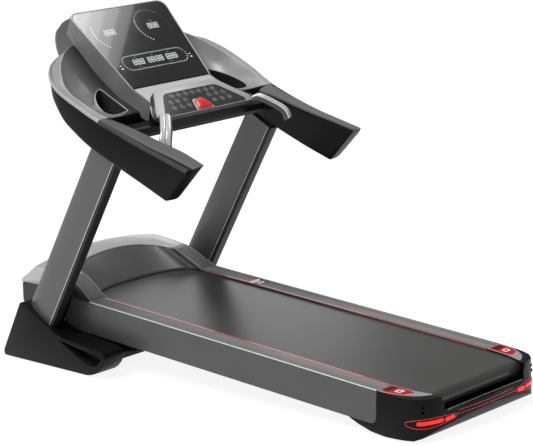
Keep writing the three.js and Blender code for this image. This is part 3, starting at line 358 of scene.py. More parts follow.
def strip_faces(rows, count, closed):
    """Quads between rows of points, each row holding count points."""
    faces = []
    last = count if closed else count - 1
    for r in range(rows - 1):
        for i in range(last):
            j = (i + 1) % count
            faces.append((r * count + i, r * count + j, (r + 1) * count + j, (r + 1) * count + i))
    return faces


def skin(rings, caps=True):
    """The points and faces of a skin over closed rings, with a cap on each end."""
    count = len(rings[0])
    faces = strip_faces(len(rings), count, True)
    if caps:
        last = (len(rings) - 1) * count
        faces.append(tuple(range(count))[::-1])
        faces.append(tuple(last + i for i in range(count)))
    return [p for ring in rings for p in ring], faces


def loft(name, rings, look, node=None, caps=True, angle=32, **ties):
    mesh = mesh_of(name, *skin(rings, caps), angle)
    return put(mesh, name, look, node, angle=angle, **ties)


def levels(outline, spot, *heights):
    """An outline placed at several heights; spot places (u, v, height)."""
    return [[spot(u, v, height) for u, v in outline] for height in heights]


def slab(name, outline, low, high, spot, look, node=None, **ties):
    """A flat outline made solid between two heights."""
    return loft(name, levels(outline, spot, low, high), look, node, **ties)


def shell(name, grid, look, node=None, body=FLOOR):
    """An open grid of points given a thin wall."""
    points = [p for row in grid for p in row]
    mesh = mesh_of(name, points, strip_faces(len(grid), len(grid[0]), False), 40)
    thing = put(mesh, name, look, node, body)
    wall = thing.modifiers.new("wall", "SOLIDIFY")
    wall.thickness = SHELL_THICK * MM
    wall.offset = 0
    return thing


def carve(thing, cutter):
    """Cuts the cutter's space out of a piece and throws the cutter away."""
    cut = thing.modifiers.new("cut", "BOOLEAN")
    cut.operation = "DIFFERENCE"
    cut.solver = "EXACT"
    cut.object = cutter
    graph = bpy.context.evaluated_depsgraph_get()
    result = bpy.data.meshes.new_from_object(thing.evaluated_get(graph))
    result.name = thing.name
    thing.modifiers.clear()
    thing.data = result
    result.set_sharp_from_angle(angle=math.radians(35))
    mesh = cutter.data
    bpy.data.objects.remove(cutter)
    bpy.data.meshes.remove(mesh)


def cutting_shape(rings):
    """A plain closed shape for carving, which isn't part of the object."""
    return add_object("cutter", mesh_of("cutter", *skin(rings)))


def catmull(rows, steps):
    """Rows of points joined by smooth curves, with steps rows for each gap."""
    table = np.array(rows, float)
    padded = np.concatenate([2 * table[:1] - table[1:2], table, 2 * table[-1:] - table[-2:-1]])
    result = []
    for i in range(len(table) - 1):
        a, b, c, d = padded[i:i + 4]
        for step in range(steps):
            t = step / steps
            result.append(0.5 * (2 * b + (c - a) * t + (2 * a - 5 * b + 4 * c - d) * t * t
                                 + (3 * b - a - 3 * c + d) * t ** 3))
    result.append(table[-1])
    return np.array(result)


def rounded(corners, radius, steps=4):
    """A closed outline whose corners are arcs; corners are points of any dimension."""
    points = [np.array(p, float) for p in corners]
    result = []
    for i, corner in enumerate(points):
        before = points[i - 1] - corner
        after = points[(i + 1) % len(points)] - corner
        r = radius[i] if isinstance(radius, (list, tuple)) else radius
        reach = min(r, np.linalg.norm(before) * 0.48, np.linalg.norm(after) * 0.48)
        start = corner + before / np.linalg.norm(before) * reach
        end = corner + after / np.linalg.norm(after) * reach
        for k in range(steps + 1):
            t = k / steps
            result.append((1 - t) ** 2 * start + 2 * t * (1 - t) * corner + t * t * end)
    return result


def towards(a, b):
    return (b - a) / np.linalg.norm(b - a)


def mirrored(side, outline):
    return [(side * p[0], *p[1:]) for p in outline]


def on_side(side, points):
    return [place(side * p[0], p[1], p[2]) for p in points]


def heading(path, i):
    """The direction of a path at one of its points."""
    return towards(path[max(i - 1, 0)], path[min(i + 1, len(path) - 1)])


def symmetric(half):
    """A half outline followed by its mirror image."""
    return half + [(-x, y) for x, y in reversed(half)]


# ---- plain CAD nodes
for node_name, node_object in NODES.items():
    node_object.data.materials.clear()
    node_object.data.materials.append(LOOKS[SLOT_OF[node_name]])


# ---- camera and studio
CAMERA_PLACE = (-5418.94, -5051.16, 2286.06)
CAMERA_AXES = (
    (0.68387, -0.72843, -0.04136), (0.19074, 0.12378, 0.97381), (0.70423, 0.67385, -0.22359),
)
CAMERA_LENS = 142.76
SCREEN_LIGHTS = 6
SCREEN_LIGHT_EDGE = (1.573, 0.45, 3.0)
SCREEN_LIGHT_WIDE = 0.085
SKY_LIGHT = 0.32
SUN_ENERGY = 2.2
SUN_WAY = (0.55, -0.25, -1)
FLOOR_REACH = 30
FLOOR_DROP = 0.0005


def add_camera():
    data = bpy.data.cameras.new("camera")
    data.lens = CAMERA_LENS
    data.sensor_width = 36
    data.clip_end = 100
    camera = add_object("camera", data)
    right, up, forward = (Vector(axis).normalized() for axis in CAMERA_AXES)
    turn = Matrix((right, up, -forward)).transposed().to_4x4()
    camera.matrix_world = Matrix.Translation(place(*CAMERA_PLACE)) @ turn
    bpy.context.scene.camera = camera


def area_light(name, spot, turn, size, radiance):
    """A rectangular light that shines along the turned frame's -z."""
    data = bpy.data.lights.new(name, "AREA")
    data.shape = "RECTANGLE"
    data.size, data.size_y = size
    data.energy = radiance * math.pi * size[0] * size[1]
    add_object(name, data).matrix_world = Matrix.Translation(spot) @ turn.to_4x4()


def facing(direction):
    return Vector(direction).to_track_quat("-Z", "Y").to_matrix()


def add_lights():
    """Strips over the screen, brighter to the left, and soft lights for the belt and the side."""
    along = Vector((0.46, 0.888, 0))
    across = Vector((-0.888, 0.46, 0))
    turn = Matrix((-across, along, Vector((0, 0, 1)))).transposed()
    for i in range(SCREEN_LIGHTS):
        spot = Vector(SCREEN_LIGHT_EDGE) + across * SCREEN_LIGHT_WIDE * (i + 0.5)
        area_light(f"screen_light_{i}", spot, turn, (SCREEN_LIGHT_WIDE, 1.1), 2.4 + 2.1 * i)
    for name, spot, target, size, radiance in (
            ("belt_light", (3.0, 3.1, 1.5), (0, 0.3, 0.2), (1.7, 1.3), 1.3),
            ("side_light", (-3.6, -1.2, 1.3), (0, 0.5, 0.8), (2.6, 2.0), 1.1)):
        area_light(name, Vector(spot), facing(Vector(target) - Vector(spot)), size, radiance)


def add_world():
    """A soft white sky, which the camera sees brighter than it lights."""
    world = bpy.data.worlds.new("studio")
    world.use_nodes = True
    tree = world.node_tree
    background = tree.nodes["Background"]
    set_sockets(background, {"Color": (1, 1, 1, 1)})
    path = tree.nodes.new("ShaderNodeLightPath")
    strength = tree.nodes.new("ShaderNodeMapRange")
    set_sockets(strength, {"To Min": SKY_LIGHT, "To Max": 1.0})
    tree.links.new(path.outputs["Is Camera Ray"], strength.inputs["Value"])
    tree.links.new(strength.outputs["Result"], background.inputs["Strength"])
    bpy.context.scene.world = world


def add_sun():
    data = bpy.data.lights.new("sun", "SUN")
    data.energy = SUN_ENERGY
    data.angle = math.radians(40)
    add_object("sun", data).matrix_world = facing(SUN_WAY).to_4x4()


def add_floor():
    material, _, shader = node_setup("floor_white")
    set_sockets(shader, {"Base Color": (0.22, 0.22, 0.22, 1), "Emission Color": (1, 1, 1, 1),
                         "Emission Strength": 0.88, "Roughness": 0.9})
    corners = [(x * FLOOR_REACH, y * FLOOR_REACH, 0) for x, y in ((-1, -1), (1, -1), (1, 1), (-1, 1))]
    mesh = bpy.data.meshes.new("floor")
    mesh.from_pydata(corners, [], [(0, 1, 2, 3)])
    mesh.materials.append(material)
    floor = add_object("floor", mesh)
    floor.location.z = -FLOOR_DROP


bpy.context.scene.view_settings.view_transform = "Standard"
add_camera()
add_world()
add_sun()
add_floor()
add_lights()

# ---- arms
# Stations from the open rear end forward: top outer, top inner, bottom inner, bottom outer.
ARM = [
    [[459, 62, 849], [397, 40, 864], [400, 180, 724], [457, 188, 725]],
    [[454, 160, 875], [383, 150, 894], [392, 280, 762], [458, 285, 765]],
    [[450, 260, 901], [381, 250, 916], [390, 370, 797], [459, 372, 800]],
    [[449, 360, 932], [381, 355, 942], [390, 450, 829], [459, 452, 832]],
    [[450, 440, 960], [381, 438, 961], [390, 522, 858], [459, 524, 860]],
    [[455, 502, 982], [383, 502, 973], [391, 566, 878], [459, 568, 880]],
    [[460, 550, 1003], [389, 550, 989], [392, 602, 898], [459, 604, 900]],
    [[465, 600, 1027], [396, 600, 1008], [396, 640, 921], [459, 640, 923]],
    [[468, 660, 1055], [402, 660, 1035], [398, 690, 958], [460, 690, 960]],
    [[464, 716, 1083], [400, 716, 1066], [396, 722, 1002], [459, 724, 1004]],
    [[444, 768, 1114], [388, 752, 1098], [386, 748, 1040], [446, 758, 1042]],
    [[404, 812, 1144], [360, 786, 1126], [360, 784, 1074], [404, 798, 1076]],
    [[345, 842, 1165], [330, 812, 1150], [330, 812, 1104], [345, 828, 1106]],
    [[262, 864, 1178], [262, 834, 1166], [262, 834, 1124], [262, 850, 1126]],
]
ARM_STEPS = 5
JOINT = 5
COVER = 7.0
# The bowl from the grip's joint forward: arm's outer edge, crest line, and console wall.
RIM = [
    [455, 505, 984], [460, 552, 1005], [465, 600, 1029], [468, 660, 1057], [464, 716, 1085],
    [444, 768, 1116], [404, 812, 1146], [345, 842, 1167], [300, 856, 1175], [258, 866, 1180],
]
CREST = [
    [413, 506, 984], [424, 552, 1004], [434, 600, 1029], [436, 660, 1056], [424, 713, 1084],
    [398, 757, 1116], [364, 798, 1146], [322, 828, 1174], [286, 848, 1189], [250, 862, 1198],
]
WALL = [
    [205, 562, 970], [207, 580, 980], [209, 610, 995], [213, 652, 1013], [218, 700, 1048],
    [222, 745, 1086], [226, 785, 1123], [230, 820, 1158], [232, 842, 1180], [236, 861, 1194],
]
# The edge strip's section, as (inward, down).
RIM_SECTION = ((-0.8, 12), (-0.8, 1.5), (0.8, 0), (6.5, 0), (7.5, 1.5), (7.5, 12))
BOWL_STEPS = 6
BOWL_DIP = (3, 9, 17, 25, 31, 30, 22, 12, 4, 0)
BOWL_COLUMNS = 14
POCKET = [
    (267, 552), (267, 697), (291, 688), (318, 667), (341, 640), (357, 612), (366, 585), (367, 562),
    (354, 546), (319, 543),
]
POCKET_SOFT = [8, 10, 14, 14, 14, 14, 14, 14, 12, 16]
POCKET_MIDDLE = np.array([312.0, 612.0])
POCKET_TILT = math.radians(25)
POCKET_Y, POCKET_Z = 585.0, 1000.0
POCKET_DEPTH = 66.0


def arm_rows():
    """Smooth rows of the arm's four corners, from the rear end to the front."""
    flat = [[value for corner in row for value in corner] for row in ARM]
    return catmull(flat, ARM_STEPS).reshape(-1, 4, 3)


def grip_rows():
    """The rows from the rear end to the grip's joint, each with its share of the way."""
    rows = arm_rows()[:JOINT * ARM_STEPS + 1]
    return [(i / (len(rows) - 1), row) for i, row in enumerate(rows)]


def bowl_rows():
    flat = [rim + crest + wall + [dip] for rim, crest, wall, dip in zip(RIM, CREST, WALL, BOWL_DIP)]
    return [(row[0:3], row[3:6], row[6:9], row[9]) for row in catmull(flat, BOWL_STEPS)]


def soft_ends(rings, reach, shrink):
    """Adds two smaller rings beyond each end of a loft, so that its rim is rounded."""
    def beyond(ring, inner, inset, share):
        middle = np.mean(ring, axis=0)
        out = towards(np.mean(inner, axis=0), middle) * reach * share
        return [middle + (p - middle) * (1 - (1 - shrink) * inset) + out for p in ring]

    first, last = [[beyond(ring, inner, *step) for step in ((1, 1), (0.35, 0.6))]
                   for ring, inner in (rings[:2], rings[:-3:-1])]
    return first + rings + last[::-1]


def paired(name, side, title, rings, look, node=None, **ties):
    """A loft in the source's millimetres, on the left or the right."""
    return loft(f"{name}_{title}", [on_side(side, ring) for ring in rings], look, node, **ties)


def arm_body(name, side):
    rings = []
    for to, ti, bi, bo in arm_rows():
        down = towards(to, bo) * COVER
        rings.append(rounded([to + down, ti + down, bi, bo], [4, 4, 16, 16]))
    paired(name, side, "arm_body", soft_ends(rings, 5.0, 0.88), "black_plastic",
           f"{name}_arm_shell", angle=60)


def across_arm(row, outline):
    """Points given as (share of the way to the inner edge, height over the arm's top)."""
    to, ti, _, bo = row
    up = towards(bo, to)
    return [to + (ti - to) * u + up * h for u, h in outline]


def grip_cushion(name, side):
    """The soft pad; it draws away from the outer edge towards the rear end."""
    rings = []
    for t, row in grip_rows():
        edge = 0.33 - 0.17 * min(1.0, t * 1.4) ** 0.7
        section = [(edge, -8), (edge, -0.5), (edge + 0.05, 2.2), (edge + 0.2, 4), (0.75, 3),
                   (0.95, -1), (1.03, -7), (1.035, -16), (0.99, -17), (0.9, -8)]
        rings.append(rounded(across_arm(row, section), 5, 2))
    paired(name, side, "grip_cushion", soft_ends(rings, 4.0, 0.9), "grip_foam",
           f"{name}_grip_pad", angle=50)


def grip_lip(name, side):
    """The thin edge outside the pad, from the joint to the rear end."""
    rings = []
    for t, row in grip_rows():
        wide = 0.1 + 0.05 * (1 - t)
        rings.append(across_arm(row, [(-0.012, -15), (-0.012, -2), (0.01, 0), (wide - 0.01, 0),
                                      (wide, -1.5), (wide, -15)]))
    paired(name, side, "grip_lip", rings, "dark_grey_plastic", bevel=0.6, angle=25)


def front_lip(name, side):
    """The light edge strip that goes round the outside of the bowl's rim."""
    down = np.array([0, 0.35, -0.94])
    rings = [[rim + towards(rim, crest) * inward + down * drop for inward, drop in RIM_SECTION]
             for rim, crest, _, _ in bowl_rows()]
    paired(name, side, "rim_lip", rings, "arm_top_grey", bevel=0.6, angle=25)


def rim_band(name, side):
    """The satin band between the edge strip and the crest line."""
    crown = np.array([0, 0, 1.0])
    rings = []
    for rim, crest, _, _ in bowl_rows():
        inward = towards(rim, crest)
        start = rim + inward * 9.2
        rings.append([start - crown * 6, start - crown, start + inward,
                      rim + (crest - rim) * 0.6 + crown, crest - crown * 0.3, crest - crown * 6])
    paired(name, side, "rim_band", rings, "arm_top_grey", angle=40)


def bead(name, points, half_wide, half_high, look, body=FLOOR):
    """A thin rounded strip laid along a row of points, in the source's millimetres."""
    rings = []
    for i, point in enumerate(points):
        along = heading(points, i)
        across = np.cross(along, [0, 0, 1.0])
        across /= np.linalg.norm(across)
        up = np.cross(across, along)
        rings.append([place(*(point + across * half_wide * math.cos(a) + up * half_high * math.sin(a)))
                      for a in np.linspace(0, 2 * math.pi, 9)[:-1]])
    loft(name, rings, look, body=body, angle=70)


def crest_line(name, side):
    """A thin bright bead along the crest between the band and the bowl."""
    points = [crest * np.array([side, 1, 1]) for _, crest, _, _ in bowl_rows()]
    bead(f"{name}_crest_line", points, 1.7, 1.5, "hood_silver")


def pocket_bridge(name, side):
    """The dark wall below the bowl's rear edge, from the arm to the console's side."""
    crest, wall = np.array(CREST[0], float), np.array(WALL[0], float)
    across = towards(crest, wall)
    rings = []
    for reach, low in ((8, 928), (60, 912), (130, 908), (np.linalg.norm(wall - crest) + 14, 908)):
        x, y, z = crest + across * reach
        rings.append([(x, y - 4, z - 4), (x, y - 7, low + 8), (x, y - 2, low), (x, y + 7, low),
                      (x, y + 7, z - 4)])
    paired(name, side, "pocket_bridge", rings, "black_plastic", bevel=1.2, angle=30)


def pocket_ring(side, grow, height):
    """The drink pocket's outline, grown outward and set above its sloping rim."""
    ring = []
    for point in rounded(POCKET, POCKET_SOFT, 3):
        away = point - POCKET_MIDDLE
        reach = np.linalg.norm(away)
        x, y = POCKET_MIDDLE + away * (reach + grow) / reach
        z = POCKET_Z + math.tan(POCKET_TILT) * (y - POCKET_Y)
        ring.append(place(side * x, y - height * math.sin(POCKET_TILT),
                          z + height * math.cos(POCKET_TILT)))
    return ring


def bowl(name, side):
    """The hollow between the crest line and the console wall, open round the pocket."""
    shares = [j / BOWL_COLUMNS for j in range(BOWL_COLUMNS + 1)]
    grid = []
    for _, crest, wall, dip in bowl_rows():
        row = [crest + (wall - crest) * t - np.array([0, 0, dip * math.sin(math.pi * t ** 0.8)])
               for t in shares]
        grid.append(on_side(side, row))
    thing = shell(f"{name}_bowl", grid, "bowl_grey", f"{name}_arm_top")
    carve(thing, cutting_shape([pocket_ring(side, 1, -90), pocket_ring(side, 1, 60)]))


def drink_pocket(name, side):
    """A dark pocket with a light rolled rim; the well's heights are counted from its floor."""
    rim = [(0, -6), (0, 0.4), (1.2, 1.8), (3.2, 1.8), (4.4, 0.4), (4.4, -12), (3, -12), (3, -6)]
    rings = [pocket_ring(side, *step) for step in rim + rim[:1]]
    loft(f"{name}_pocket_rim", rings, "hood_silver", caps=False, angle=40)
    well = [(-9, -3), (1.2, 7), (3.6, 46), (3.6, 65), (-0.3, 65), (-0.8, 46), (-3, 9), (-12, 0)]
    rings = [pocket_ring(side, grow, up - POCKET_DEPTH) for grow, up in well]
    loft(f"{name}_pocket_well", rings, "dark_grey_plastic", f"{name}_cup_holder", angle=50)


# ---- console
WING_EDGE = [(499, 1003, 512, 942), (507, 1010, 518, 938), (524, 1019, 535, 942)]
WALL_EDGE = [(0, 612, 973), (60, 655, 1002), (130, 705, 1043), (200, 757, 1095), (270, 806, 1148),
             (330, 852, 1198), (372, 884, 1236)]
SHELL_MIDDLE = [
    (876, 1288), (888, 1284), (905, 1277), (932, 1271), (962, 1262), (990, 1236), (1003, 1190),
    (997, 1144), (970, 1098), (900, 1046), (800, 1000), (700, 966), (655, 955),
]
SHELL_SIDE = [
    (872, 1299), (888, 1294), (907, 1283), (928, 1264), (943, 1242), (952, 1214), (952, 1182),
    (944, 1149), (915, 1108), (862, 1066), (785, 1020), (695, 980), (655, 966),
]
SHELL_INSIDE = [(655, 1010), (700, 1050), (800, 1135), (846, 1222)]
SHELL_ROUND = ((1.0, 1.0), (0.985, 0.72), (0.94, 0.42), (0.86, 0.18), (0.72, 0.04), (0.5, 0.0))
SHELL_Z, SHELL_HALF = (985, 1245, 1285, 1303), (203, 246, 246, 238)
SCREEN_CORNER = 34.0
CONSOLE_WALL = 5.0


def glass_half(up):
    return GLASS_HALF_BOTTOM + (GLASS_HALF_TOP - GLASS_HALF_BOTTOM) * up / GLASS_LONG


def console_loop(grow):
    """The screen's outline from its lower left round the top to its lower right."""
    top = GLASS_LONG + grow
    half = glass_half(top - SCREEN_CORNER) + grow
    points = [(-glass_half(up) - grow, up) for up in (0, 60, 130, 200, 270, 330)]
    for i in range(9):
        angle = math.pi / 2 * i / 8
        points.append((-half + SCREEN_CORNER * (1 - math.cos(angle)),
                       top - SCREEN_CORNER * (1 - math.sin(angle))))
    return symmetric(points)


def glass_source(x, up, out):
    """A point over the glass, in the source's millimetres."""
    return np.array(on_glass(x, up, out)) / MM + np.array([0, CENTRE_Y, 0])


def console_wall():
    """The grey wall round the screen, whose side walls run on below it as two wings."""
    x0 = -GLASS_HALF_BOTTOM - CONSOLE_WALL
    x1 = x0 + 4.4
    rings = [[(x0, rear_y, rear_z), (x0, low_y, low_z), (x1, low_y, low_z), (x1, rear_y, rear_z)]
             for rear_y, rear_z, low_y, low_z in WING_EDGE]
    outer, inner = console_loop(CONSOLE_WALL), console_loop(0.4)
    left = len(outer) // 2
    edge_up, edge_y, edge_z = zip(*WALL_EDGE)
    for (xo, up_out), (xi, up_in) in zip(outer[:left], inner[:left]):
        top_out, top_in = glass_source(xo, up_out, -0.5), glass_source(xi, up_in, -0.5)
        deep = glass_source(xo, up_out, -FRAME_DEPTH)
        share = min(max((up_out - 352) / 38, 0), 1)
        low = np.array([0, np.interp(up_out, edge_up, edge_y), np.interp(up_out, edge_up, edge_z)])
        low = low * (1 - share) + deep * share
        low[0] = top_out[0]
        rings.append([top_out, low, top_in + low - top_out, top_in])
    rings += [mirrored(-1, ring) for ring in reversed(rings)]
    loft("console_wall", [on_side(1, ring) for ring in rings], "console_grey", "console_frame",
         bevel=1.8, angle=40)


def console_shell():
    """The bulging rear housing of the screen, as wide as the screen's wall."""
    middle, edge = catmull(SHELL_MIDDLE, 5), catmull(SHELL_SIDE, 5)
    rings = []
    for reach, share in SHELL_ROUND + tuple((-reach, share) for reach, share in reversed(SHELL_ROUND)):
        outline = list(middle + (edge - middle) * share) + SHELL_INSIDE
        rings.append([place(reach * np.interp(z, SHELL_Z, SHELL_HALF), y, z) for y, z in outline])
    loft("console_shell", rings, "shell_grey", "console_back", bevel=3, angle=45)


def glass_and_trim():
    refined("screen_glass", 0.8, "screen_pane")
    rings = [[on_glass(xo, uo, -0.6), on_glass(xo, uo, 0.8), on_glass((xo + xi) / 2, (uo + ui) / 2, 1.8),
              on_glass(xi, ui, 1.2), on_glass(xi, ui, -0.6)]
             for (xo, uo), (xi, ui) in zip(console_loop(5.2), console_loop(0.8))]
    loft("screen_bezel", rings, "hood_silver", "screen_trim", angle=60)


# ---- screen graphics
SEGMENTS = {
    "a": ((0, 1), (1, 1)), "b": ((1, 1), (1, 0.5)), "c": ((1, 0.5), (1, 0)), "d": ((0, 0), (1, 0)),
    "e": ((0, 0.5), (0, 0)), "f": ((0, 1), (0, 0.5)), "g": ((0, 0.5), (1, 0.5)),
}
DIGIT_WIDE, DIGIT_HIGH, DIGIT_LEAN = 12, 24, 0.12
# Each part of a dial: its look, the share of the dial where it ends, and half its marks' length.
GAUGE_PARTS = (("white", 0.34, 3.2), ("green", 0.56, 3.2), ("dim", 0.76, 3.2), ("red", 1.1, 2.2))
GAUGE_TICKS = 32
BAND_TICKS = 72


def raised(name, outlines, look, spot=on_glass, low=0.05, high=0.35):
    """Many small flat shapes as one piece, each a closed prism."""
    points, faces = [], []
    for outline in outlines:
        prism, sides = skin(levels(outline, spot, low, high))
        faces += [tuple(len(points) + i for i in side) for side in sides]
        points += prism
    put(mesh_of(name, points, faces), name, look)


def bar_outline(a, b, half):
    """A thin bar with pointed ends between two points."""
    a, b = np.array(a, float), np.array(b, float)
    along = towards(a, b)
    across = np.array([-along[1], along[0]]) * half
    tip = along * half
    return [tuple(p) for p in (a, a + tip + across, b - tip + across, b, b - tip - across,
                               a + tip - across)]


def dash(x, y, reach, half):
    """A level bar that starts at a point."""
    return bar_outline((x, y), (x + reach, y), half)


def tick(x, y, angle, radius, reach, half):
    """A short bar across a circle, at an angle round its middle."""
    ends = [(x + r * math.cos(angle), y + r * math.sin(angle)) for r in (radius - reach, radius + reach)]
    return bar_outline(*ends, half)


def digit(x, y):
    """The strokes of a seven-segment figure eight."""
    return [bar_outline(*[(x + u * DIGIT_WIDE + v * DIGIT_HIGH * DIGIT_LEAN, y + v * DIGIT_HIGH)
                          for u, v in ends], 0.62) for ends in SEGMENTS.values()]


def screen_spot(across, down):
    """Fractions of the glass, from the left and from the top, as glass coordinates."""
    up = GLASS_LONG * (1 - down)
    return (across - 0.5) * 2 * glass_half(up), up


def gauge(name, across):
    """A dotted dial that opens downward, with three figures in its middle."""
    cx, cy = screen_spot(across, 0.29)
    start = 0
    for group, end, reach in GAUGE_PARTS:
        shares = [i / (GAUGE_TICKS - 1) for i in range(GAUGE_TICKS)]
        ticks = [tick(cx, cy, math.radians(235 - 255 * t), 80, reach, 1.0)
                 for t in shares if start <= t < end]
        raised(f"{name}_{group}", ticks, group + "_led")
        start = end
    figures = [bar for i in range(3) for bar in digit(cx - 27 + i * 19, cy - 12)]
    raised(f"{name}_figures", figures, "white_led")
    raised(f"{name}_unit", [dash(cx - 5, cy + 24, 14, 1.2)], "dim_led")


def stadium():
    """The dotted band round the lower row of figures."""
    cx, cy = screen_spot(0.505, 0.695)
    half, radius = 128, 34
    straight = 2 * half
    lap = straight + math.pi * radius
    ticks = []
    for i in range(BAND_TICKS):
        turn, s = divmod(2 * lap * i / BAND_TICKS, lap)
        angle = math.pi / 2 - max(0, s - straight) / radius - math.pi * turn
        x = cx + (1 - 2 * turn) * (min(s, straight) - half)
        ticks.append(tick(x, cy, angle, radius, 2.6, 0.75))
    raised("lower_band", ticks, "white_led")
    figures = [bar for start in (-112, -92, -72, -38, -18, 6, 26, 58, 78, 98)
               for bar in digit(cx + start, cy - 12)]
    for dy in (-5, 6):
        figures.append(bar_outline((cx + 0.5, cy + dy - 1.4), (cx + 0.5, cy + dy + 1.4), 1.3))
    raised("lower_figures", figures, "white_led")
    units = [dash(cx + dx, cy + dy, 12, 1.1)
             for dx, dy in ((-95, 22), (-8, 22), (72, 22), (-100, -22), (60, -22))]
    raised("lower_units", units, "dim_led")
    for name, across in (("left", 0.075), ("right", 0.925)):
        x, y = screen_spot(across, 0.73)
        raised(f"{name}_side_icon", [dash(x - 5, y + 8, 10, 1.8), dash(x - 6, y - 6, 12, 3)], "amber_led")


# ---- control panel
KEY_RING = (9.7, 10.5)
RING_PARTS = 18
KEY_CENTRE = -9


def disc(x, y, radius, count=20):
    return [(x + radius * math.cos(2 * math.pi * i / count), y + radius * math.sin(2 * math.pi * i / count))
            for i in range(count)]


def keypad_edge(grow):
    return rounded(symmetric([(197 + grow, 4 - grow), (204 + grow, 10), (202 + grow, 20),
                              (140 + grow, 106), (126, 113 + grow)]), 7, 3)


def plate_edge(grow):
    """The raised key plate with its two ears, on the plate's own slope."""
    return rounded(symmetric([(222, -4 - grow), (238 + grow, 2), (244 + grow, 18), (238 + grow, 36),
                              (208 + grow, 76), (168 + grow, 134), (150, 148 + grow)]), 9, 3)


def key_places():
    places = [(-105 + i * 35, 98) for i in range(7)]
    for sign in (-1, 1):
        places += [(sign * (62 + i * 37), 68) for i in range(3)]
        places += [(sign * (66 + i * 39), 37) for i in range(3)]
    return places


def key_mark(kind, x, y):
    """One of four plain marks."""
    if kind == 0:
        return [[(x - 3, y - 4), (x + 4, y), (x - 3, y + 4)]]
    if kind == 1:
        return [dash(x - 4, y + dy, 8, 0.8) for dy in (-3, 3)]
    if kind == 2:
        return [disc(x, y, 3, 10)]
    return [bar_outline((x - 4, y - 2), (x, y + 3), 0.8), bar_outline((x, y + 3), (x + 4, y - 2), 0.8)]


def key_film():
    """The glossy film with its rings and marks, in a light border on the raised plate."""
    slab("key_film", keypad_edge(0), -1.0, 0.7, on_plate, "keypad_film", "keypad", bevel=0.2)
    for title, low, high, look, top in (("groove", 0.3, 3.6, "black_plastic", 0.2),
                                        ("border", 3.6, 5.6, "hood_silver", 1.0)):
        rings = [[on_plate(*i, -1), on_plate(*i, top), on_plate(*o, top), on_plate(*o, -1)]
                 for i, o in zip(keypad_edge(low), keypad_edge(high))]
        loft(f"key_film_{title}", rings + rings[:1], look, caps=False, angle=40)
    rings, marks = [], []
    inner, outer = KEY_RING
    for index, (x, y) in enumerate(key_places()):
        for i in range(RING_PARTS):
            a0, a1 = 2 * math.pi * i / RING_PARTS, 2 * math.pi * (i + 0.98) / RING_PARTS
            rings.append([(x + r * math.cos(a), y + r * math.sin(a))
                          for r, a in ((inner, a0), (outer, a0), (outer, a1), (inner, a1))])
        marks += key_mark(index % 4, x, y)
    # The printed key rings and marks glow a little: painted light.
    raised("key_rings", rings, "pale_mark", on_plate, 0.6, 1.0)
    raised("key_marks", marks, "pale_mark", on_plate, 0.6, 1.0)


def key_plate():
    """The sheet below the screen, and the raised plate with its ears in front of it."""
    refined("control_panel", 0.9, "control_sheet")
    rings = [levels(plate_edge(grow), on_plate, out)[0]
             for grow, out in ((-3, -0.8), (-1, -1.6), (0, -4), (-1, -6))]
    loft("key_plate", rings, "panel_silver", angle=50)
    backing = levels(plate_edge(-0.6), on_plate, -5.5)
    for grow, wide, out in ((0, 1.07, 3), (0, 1.07, -12), (-9, 1.03, -18)):
        backing.append([on_panel(x * wide, up * 0.985, out) for x, up in plate_edge(grow)])
    loft("ear_backing", backing, "dark_grey_plastic", angle=40)


def key_spot(u, v, out):
    return on_plate(KEY_CENTRE + u, v, out)


def safety_key():
    """A red clip on a pale plate, with a thumb ridge across it."""
    rest = rounded([(-46, 2), (46, 2), (27, 60), (-27, 60)], 8, 4)
    slab("key_rest", rest, 0.6, 1.8, key_spot, "hood_silver", bevel=0.5)
    base = rounded([(-36, 5), (36, 5), (22, 52), (-22, 52)], 5, 4)
    head = rounded([(-31, 9), (31, 9), (18, 49), (-18, 49)], 5, 4)
    loft("key_clip", levels(base, key_spot, 2.0, 8) + levels(head, key_spot, 12), "red_plastic",
         "safety_key", body="safety_key", bevel=1.2, angle=35)
    ridge = rounded([(-4, 22), (4, 22), (4, 50), (-4, 50)], 3, 3)
    slab("key_ridge", ridge, 11, 17, key_spot, "red_plastic", body="safety_key", bevel=1.2)
    stem = [(-10, 15), (10, 15), (10, 25), (-10, 25)]
    slab("key_stem", stem, -14, 2.3, key_spot, "red_plastic", body="safety_key", bevel=0.8)


GRIP_PATH = [
    [236, 398, 975], [245, 384, 980], [262, 363, 970], [283, 341, 953], [305, 318, 933], [321, 306, 910],
    [327, 302, 884],
]


def pulse_grip(name, side):
    """A flattened bar that bends down at its end: a dark body with two bright contact plates."""
    path = catmull(GRIP_PATH, 5)
    sideways = towards(np.zeros(3), np.array([0.88, 0.46, 0.0]))

    def ring(i, low, high, bottom, top, soft):
        up = np.cross(sideways, heading(path, i))
        up *= math.copysign(1, up[2])
        return rounded([path[i] + sideways * u + up * v
                        for u, v in ((low, bottom), (high, bottom), (high, top), (low, top))], soft)

    core = [ring(i, -26, 21, -17, 0, 6) for i in range(len(path))]
    paired(name, side, "grip_core", core, "grip_body", f"{name}_pulse_grip", bevel=1, angle=60)
    for label, low, high in (("outer", 0.8, 20.5), ("inner", -19, -0.8)):
        plate = [ring(i, low, high, -4, 4.5, 4) for i in range(len(path) - 1)]
        paired(name, side, f"contact_{label}", plate, "grip_steel", bevel=0.8, angle=60)


